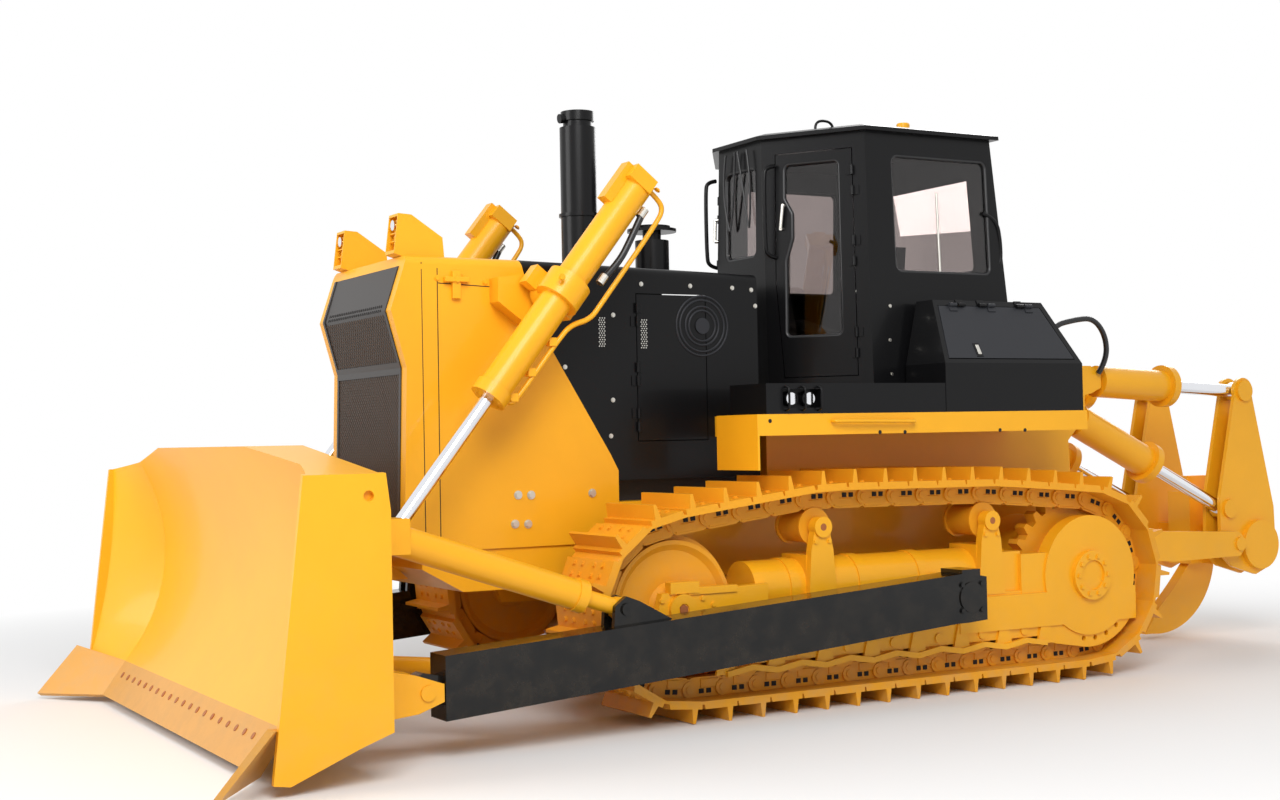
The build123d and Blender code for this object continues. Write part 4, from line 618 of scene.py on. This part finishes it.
# Window rubbers: every pane is held in a round black rubber, drawn round the
# pane's own outer edge. The cab's side panes also have slim bright bars.
CAB_MIDDLE = Vector((-0.56, 0, 2.9))
RUBBER_R = 0.017
PANE_LEAST = 0.12
SIDE_BARS = (((886, 185), (976, 190)), ((936, 193), (940, 273)))
for name, body in (("cab_glass", "chassis"), ("cab_door_glass_left", "cab_door_left"),
                   ("cab_door_glass_right", "cab_door_right")):
    panes = bmesh.new()
    panes.from_mesh(nodes[name].data)
    bmesh.ops.remove_doubles(panes, verts=panes.verts, dist=0.0005)
    bmesh.ops.dissolve_limit(panes, angle_limit=0.02, verts=panes.verts, edges=panes.edges)
    rubbers = bmesh.new()
    for face in panes.faces:
        outward = (face.calc_center_median() - CAB_MIDDLE).dot(face.normal) > 0
        if face.calc_area() > PANE_LEAST and outward:
            edge = [vert.co + face.normal * 0.004 for vert in face.verts]
            tube(rubbers, edge, RUBBER_R, curved=False, closed=True)
    panes.free()
    finished(rubbers, name.replace("glass", "rubbers"), body, rubber, True)
bars = bmesh.new()
for start_pixel, end_pixel in SIDE_BARS:
    start, end = sheet_spot(start_pixel, "cab_glass"), sheet_spot(end_pixel, "cab_glass")
    if start and end:
        tube(bars, [start[0], end[0]], 0.009, curved=False)
finished_pair(bars, "window_bars", "chassis", zinc, True)

# Cab outside fittings: door pulls and catches, wipers ahead of the doors, grab
# rails at the front and rear corners, and handles and a beacon on the roof.
DOOR_PULL = ((784, 206), (783, 217), (782, 229))
DOOR_CATCH = (857, 292)
WIPER_LINES = (((741, 152), (747, 190), (752, 226)), ((750, 150), (756, 190), (753, 228)))
FRONT_RAIL = ((0.12, 0.36, 3.38), (0.19, 0.36, 3.37), (0.205, 0.36, 3.30), (0.205, 0.36, 2.86),
              (0.19, 0.36, 2.79), (0.12, 0.36, 2.78))
REAR_RAIL = ((-1.20, 0.86, 3.07), (-1.30, 0.88, 3.04), (-1.335, 0.88, 2.88), (-1.33, 0.88, 2.70),
             (-1.24, 0.86, 2.67))
ROOF_HANDLE = ((-0.05, 0.59, 3.60), (-0.05, 0.59, 3.655), (-0.19, 0.59, 3.655), (-0.19, 0.59, 3.60))
BEACON = (0.93 + SPROCKET_AT, 0.62, 3.61)
pull = bmesh.new()
spots = [sheet_spot(pixel, "cab_door_left") for pixel in DOOR_PULL]
if all(spots):
    tube(pull, [spot[0] + spot[1] * 0.025 for spot in spots], 0.012)
    for spot in (spots[0], spots[-1]):
        disc(pull, spot[0] + spot[1] * 0.012, spot[1], 0.012, 0.026)
spot = sheet_spot(DOOR_CATCH, "cab_door_left")
if spot:
    disc(pull, spot[0] + spot[1] * 0.01, spot[1], 0.02, 0.03)
finished_pair(pull, "cab_door_pull", "cab_door_SIDE", zinc)
wipers = bmesh.new()
for pixels in WIPER_LINES:
    spots = [sheet_spot(pixel, "cab_glass", "cab_shell") for pixel in pixels]
    if all(spots):
        tube(wipers, [spot[0] + spot[1] * 0.03 for spot in spots], 0.007)
finished_pair(wipers, "wipers", "chassis", rubber, True)
rails = bmesh.new()
for points, radius in ((FRONT_RAIL, 0.014), (REAR_RAIL, 0.014), (ROOF_HANDLE, 0.009)):
    tube(rails, points, radius)
finished_pair(rails, "cab_rails", "chassis", black, True)
beacon = bmesh.new()
disc(beacon, Vector(BEACON) + Vector((0, 0, 0.035)), (0, 0, 1), 0.045, 0.07, 24)
edges = [edge for edge in beacon.edges if all(vert.co.z > BEACON[2] + 0.06 for vert in edge.verts)]
bmesh.ops.bevel(beacon, geom=edges, offset=0.012, affect="EDGES", segments=3, profile=0.5, material=-1)
finished(beacon, "beacon", "chassis", yellow)

# Lift cylinder plumbing: a bent yellow pipe runs down each barrel's rear side in
# clamps, a short black hose lies beside it, and bolts close both ends. Each place
# is given by its run along the barrel and how far it lies off the axis.
LIFT_TOP = Vector((3.66 + SPROCKET_AT, 0.95, 2.47))
LIFT_AXIS = Vector((1.2, 0, -1.52)).normalized()
LIFT_REARWARD = Vector((LIFT_AXIS.z, 0, -LIFT_AXIS.x))
LIFT_PIPE = ((-0.83, 0.06), (-0.83, 0.14), (-0.81, 0.215), (-0.72, 0.235), (-0.1, 0.235), (0.02, 0.235),
             (0.12, 0.16), (0.22, 0.145), (0.66, 0.145), (0.72, 0.13), (0.72, 0.09))
PIPE_CLAMPS = (0.28, 0.50, 0.68)
LIFT_HOSE = ((-0.66, 0.12), (-0.5, 0.15), (-0.35, 0.17), (-0.22, 0.15))
LIFT_HOSE_ENDS = ((-0.68, 0.115), (-0.20, 0.145))
LIFT_HOSE_ACROSS = 0.03
GLAND_BOLTS = 8


def on_lift(run, off, across=0.0):
    """Place beside the lift cylinder: run along it, off its axis to the rear, across to the left."""
    return LIFT_TOP + LIFT_AXIS * run + LIFT_REARWARD * off + Vector((0, across, 0))


pipes = bmesh.new()
tube(pipes, [on_lift(*place) for place in LIFT_PIPE], 0.016)
for run in PIPE_CLAMPS:
    brick(pipes, on_lift(run, 0.12), (0.05, 0.05, 0.05), None, 0.005)
for off in (-0.06, 0.02, 0.10):
    for across in (-0.055, 0.055):
        bolt(pipes, on_lift(-0.84, off, across), -LIFT_AXIS, 0.015)
for count in range(GLAND_BOLTS):
    turn = 2 * math.pi * count / GLAND_BOLTS
    bolt(pipes, on_lift(0.775, 0.08 * math.cos(turn), 0.08 * math.sin(turn)), LIFT_AXIS, 0.011)
for across in (-0.14, 0.14):
    bolt(pipes, on_lift(0.0, -0.10, across), (0, math.copysign(1, across), 0), 0.016)
finished_pair(pipes, "lift_pipes", "lift_barrels", yellow)
hoses = bmesh.new()
tube(hoses, [on_lift(*place, LIFT_HOSE_ACROSS) for place in LIFT_HOSE], 0.022)
finished_pair(hoses, "lift_hoses", "lift_barrels", rubber, True)
ends = bmesh.new()
for place in LIFT_HOSE_ENDS:
    disc(ends, on_lift(*place, LIFT_HOSE_ACROSS), LIFT_AXIS, 0.026, 0.06)
finished_pair(ends, "lift_hose_ends", "lift_barrels", zinc)

# Running gear fastenings: bolts ring the final drive and clamp the idler's block
# and the carriers' feet, and caps close the carrier, idler and roller shafts.
HUB_BOLTS = 10
HUB_RING_R = 0.125
HUB_Z = 0.668
ROLLER_CAPS = [(0.565 + count * 0.3475, 0.3453) for count in range(7)]
BEARING_CAPS = ((0.82, 1.056, 0.032), (2.126, 1.07, 0.032), (3.108, 0.645, 0.03))
FRAME_BOLTS = ((2.97, 0.70), (3.24, 0.70), (2.97, 0.59), (3.24, 0.59), (2.90, 0.66), (0.77, 0.97),
               (0.87, 0.97), (2.076, 0.985), (2.176, 0.985))
frame_bolts = bmesh.new()
for count in range(HUB_BOLTS):
    turn = 2 * math.pi * count / HUB_BOLTS
    spot = side_spot("track_frame_left", HUB_RING_R * math.cos(turn), HUB_Z + HUB_RING_R * math.sin(turn))
    if spot:
        bolt(frame_bolts, spot[0], (0, 1, 0), 0.014)
for x, z in FRAME_BOLTS:
    spot = side_spot("track_frame_left", x, z)
    if spot:
        bolt(frame_bolts, spot[0], (0, 1, 0), 0.014)
for x, z in ROLLER_CAPS:
    spot = side_spot("track_frame_left", x, z)
    if spot:
        disc(frame_bolts, spot[0], (0, 1, 0), 0.03, 0.02, 14)
finished_pair(frame_bolts, "frame_bolts", "chassis", yellow)
caps = bmesh.new()
for x, z, radius in BEARING_CAPS:
    spot = side_spot("track_frame_left", x, z)
    if spot:
        disc(caps, spot[0], (0, 1, 0), radius, 0.012, 6)
finished_pair(caps, "bearing_caps", "chassis", pin_brown)

# Blade fastenings: one row of plough bolts holds the cutting edge along its
# middle, with the heads nearly flush in its front face.
EDGE_HIGH = Vector((5.556 + SPROCKET_AT, 0, 0.26))
EDGE_LOW = Vector((5.70 + SPROCKET_AT, 0, 0.055))
EDGE_BOLTS = 21
EDGE_BOLT_REACH = 1.45
edge_out = Vector((EDGE_HIGH.z - EDGE_LOW.z, 0, EDGE_LOW.x - EDGE_HIGH.x)).normalized()
edge_bolts = bmesh.new()
for count in range(EDGE_BOLTS):
    across = EDGE_BOLT_REACH * (2 * count / (EDGE_BOLTS - 1) - 1)
    place = EDGE_HIGH.lerp(EDGE_LOW, 0.35) + Vector((0, across, 0))
    disc(edge_bolts, place, edge_out, 0.019, 0.008, 12)
finished(edge_bolts, "edge_bolts", "blade", pin_brown)

# Lamps: bright reflectors in the nose lamps and the step lamps, and three bent
# bars that guard each pair of step lamps.
NOSE_LAMP_SPOTS = ((0.44, 2.786), (0.44, 2.866))
STEP_LAMP_SPOTS = ((2.24, 1.835), (2.37, 1.835))
GUARD_BARS = (2.19, 2.305, 2.42)
GUARD_BEND = ((1.345, 1.765), (1.385, 1.768), (1.39, 1.80), (1.39, 1.87), (1.385, 1.902), (1.345, 1.905))
reflectors = bmesh.new()
for y, z in NOSE_LAMP_SPOTS:
    spot = front_spot("nose_lamps", y, z)
    if spot:
        disc(reflectors, spot[0], (1, 0, 0), 0.03, 0.012, 20)
for x, z in STEP_LAMP_SPOTS:
    spot = side_spot("side_steps", x, z)
    if spot:
        disc(reflectors, spot[0], (0, 1, 0), 0.036, 0.012, 20)
finished_pair(reflectors, "lamp_reflectors", "chassis", chrome)
guards = bmesh.new()
for x in GUARD_BARS:
    tube(guards, [(x + SPROCKET_AT, y, z) for y, z in GUARD_BEND], 0.007)
finished_pair(guards, "lamp_guards", "chassis", black, True)

# Fender rail and box latch: a bent yellow grab rail under the deck's edge, and a
# bright paddle latch let into each side box's sloping lid.
FENDER_RAIL = ((0.42, 1.345, 1.70), (0.42, 1.385, 1.70), (0.40, 1.39, 1.70), (-0.16, 1.39, 1.692),
               (-0.18, 1.385, 1.692), (-0.18, 1.345, 1.692))
LID_LATCH = (978, 350)
rail = bmesh.new()
tube(rail, FENDER_RAIL, 0.011)
finished_pair(rail, "fender_rail", "chassis", yellow, True)
spot = sheet_spot(LID_LATCH, "box_lid_left")
if spot:
    slope = Vector((1, 0, 0)).cross(spot[1])
    turn = Matrix((Vector((1, 0, 0)), slope, spot[1])).transposed()
    plate = bmesh.new()
    brick(plate, spot[0], (0.05, 0.10, 0.008), turn, 0.002)
    finished_pair(plate, "lid_latch_plate", "box_lid_SIDE", black)
    paddle = bmesh.new()
    brick(paddle, spot[0] + spot[1] * 0.005, (0.026, 0.07, 0.008), turn, 0.002)
    finished_pair(paddle, "lid_latch", "box_lid_SIDE", zinc)

# Ripper plumbing: one black hose a side arches from a port on the fuel tank's
# top, outside the tilt cylinders, down to the ear of the ripper's bracket.
HOSE_ARCH = ((-2.27, 0.60, 2.40), (-2.42, 0.61, 2.41), (-2.54, 0.60, 2.29), (-2.57, 0.58, 2.12),
             (-2.53, 0.53, 2.02))
hoses = bmesh.new()
tank_low, tank_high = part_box("fuel_tank")
tank_port = Vector((tank_low.x + 0.06, 0.56, tank_high.z))
disc(hoses, tank_port, (0, 0, 1), 0.03, 0.05)
tube(hoses, [tank_port, tank_port + Vector((0, 0.01, 0.1)), *HOSE_ARCH], 0.02)
finished_pair(hoses, "ripper_hoses", "chassis", rubber, True)

# Ripper and arm fastenings: eight cap screws hold each cylinder's gland, and
# four hold the cap over each push arm's trunnion ball.
GLAND_SCREWS = 8
GLAND_SCREW_R = 0.133
RIPPER_CYLINDER_Y = 0.425
RIPPER_GLANDS = (("tilt", (-0.80, 1.973), (-2.365, 1.889), 0.84),
                 ("lift", (-0.62, 1.74), (-2.178, 1.0), 0.90))
ARM_CAP_SCREWS = ((1.19, 0.70), (1.34, 0.70), (1.19, 0.545), (1.34, 0.545))
for name, front, rear, gland in RIPPER_GLANDS:
    start = Vector((front[0] + SPROCKET_AT, RIPPER_CYLINDER_Y, front[1]))
    axis = (Vector((rear[0] + SPROCKET_AT, RIPPER_CYLINDER_Y, rear[1])) - start).normalized()
    lift = axis.cross(Vector((0, 1, 0)))
    screws = bmesh.new()
    for count in range(GLAND_SCREWS):
        turn = 2 * math.pi * (count + 0.5) / GLAND_SCREWS
        ring = Vector((0, 1, 0)) * math.cos(turn) + lift * math.sin(turn)
        bolt(screws, start + axis * gland + ring * GLAND_SCREW_R, axis, 0.013)
    finished_pair(screws, f"{name}_gland_screws", f"ripper_{name}_barrels", yellow)
screws = bmesh.new()
for x, z in ARM_CAP_SCREWS:
    spot = side_spot("push_arm_left", x, z)
    if spot:
        bolt(screws, spot[0], (0, 1, 0), 0.016)
finished_pair(screws, "arm_cap_screws", "blade", wet_black)
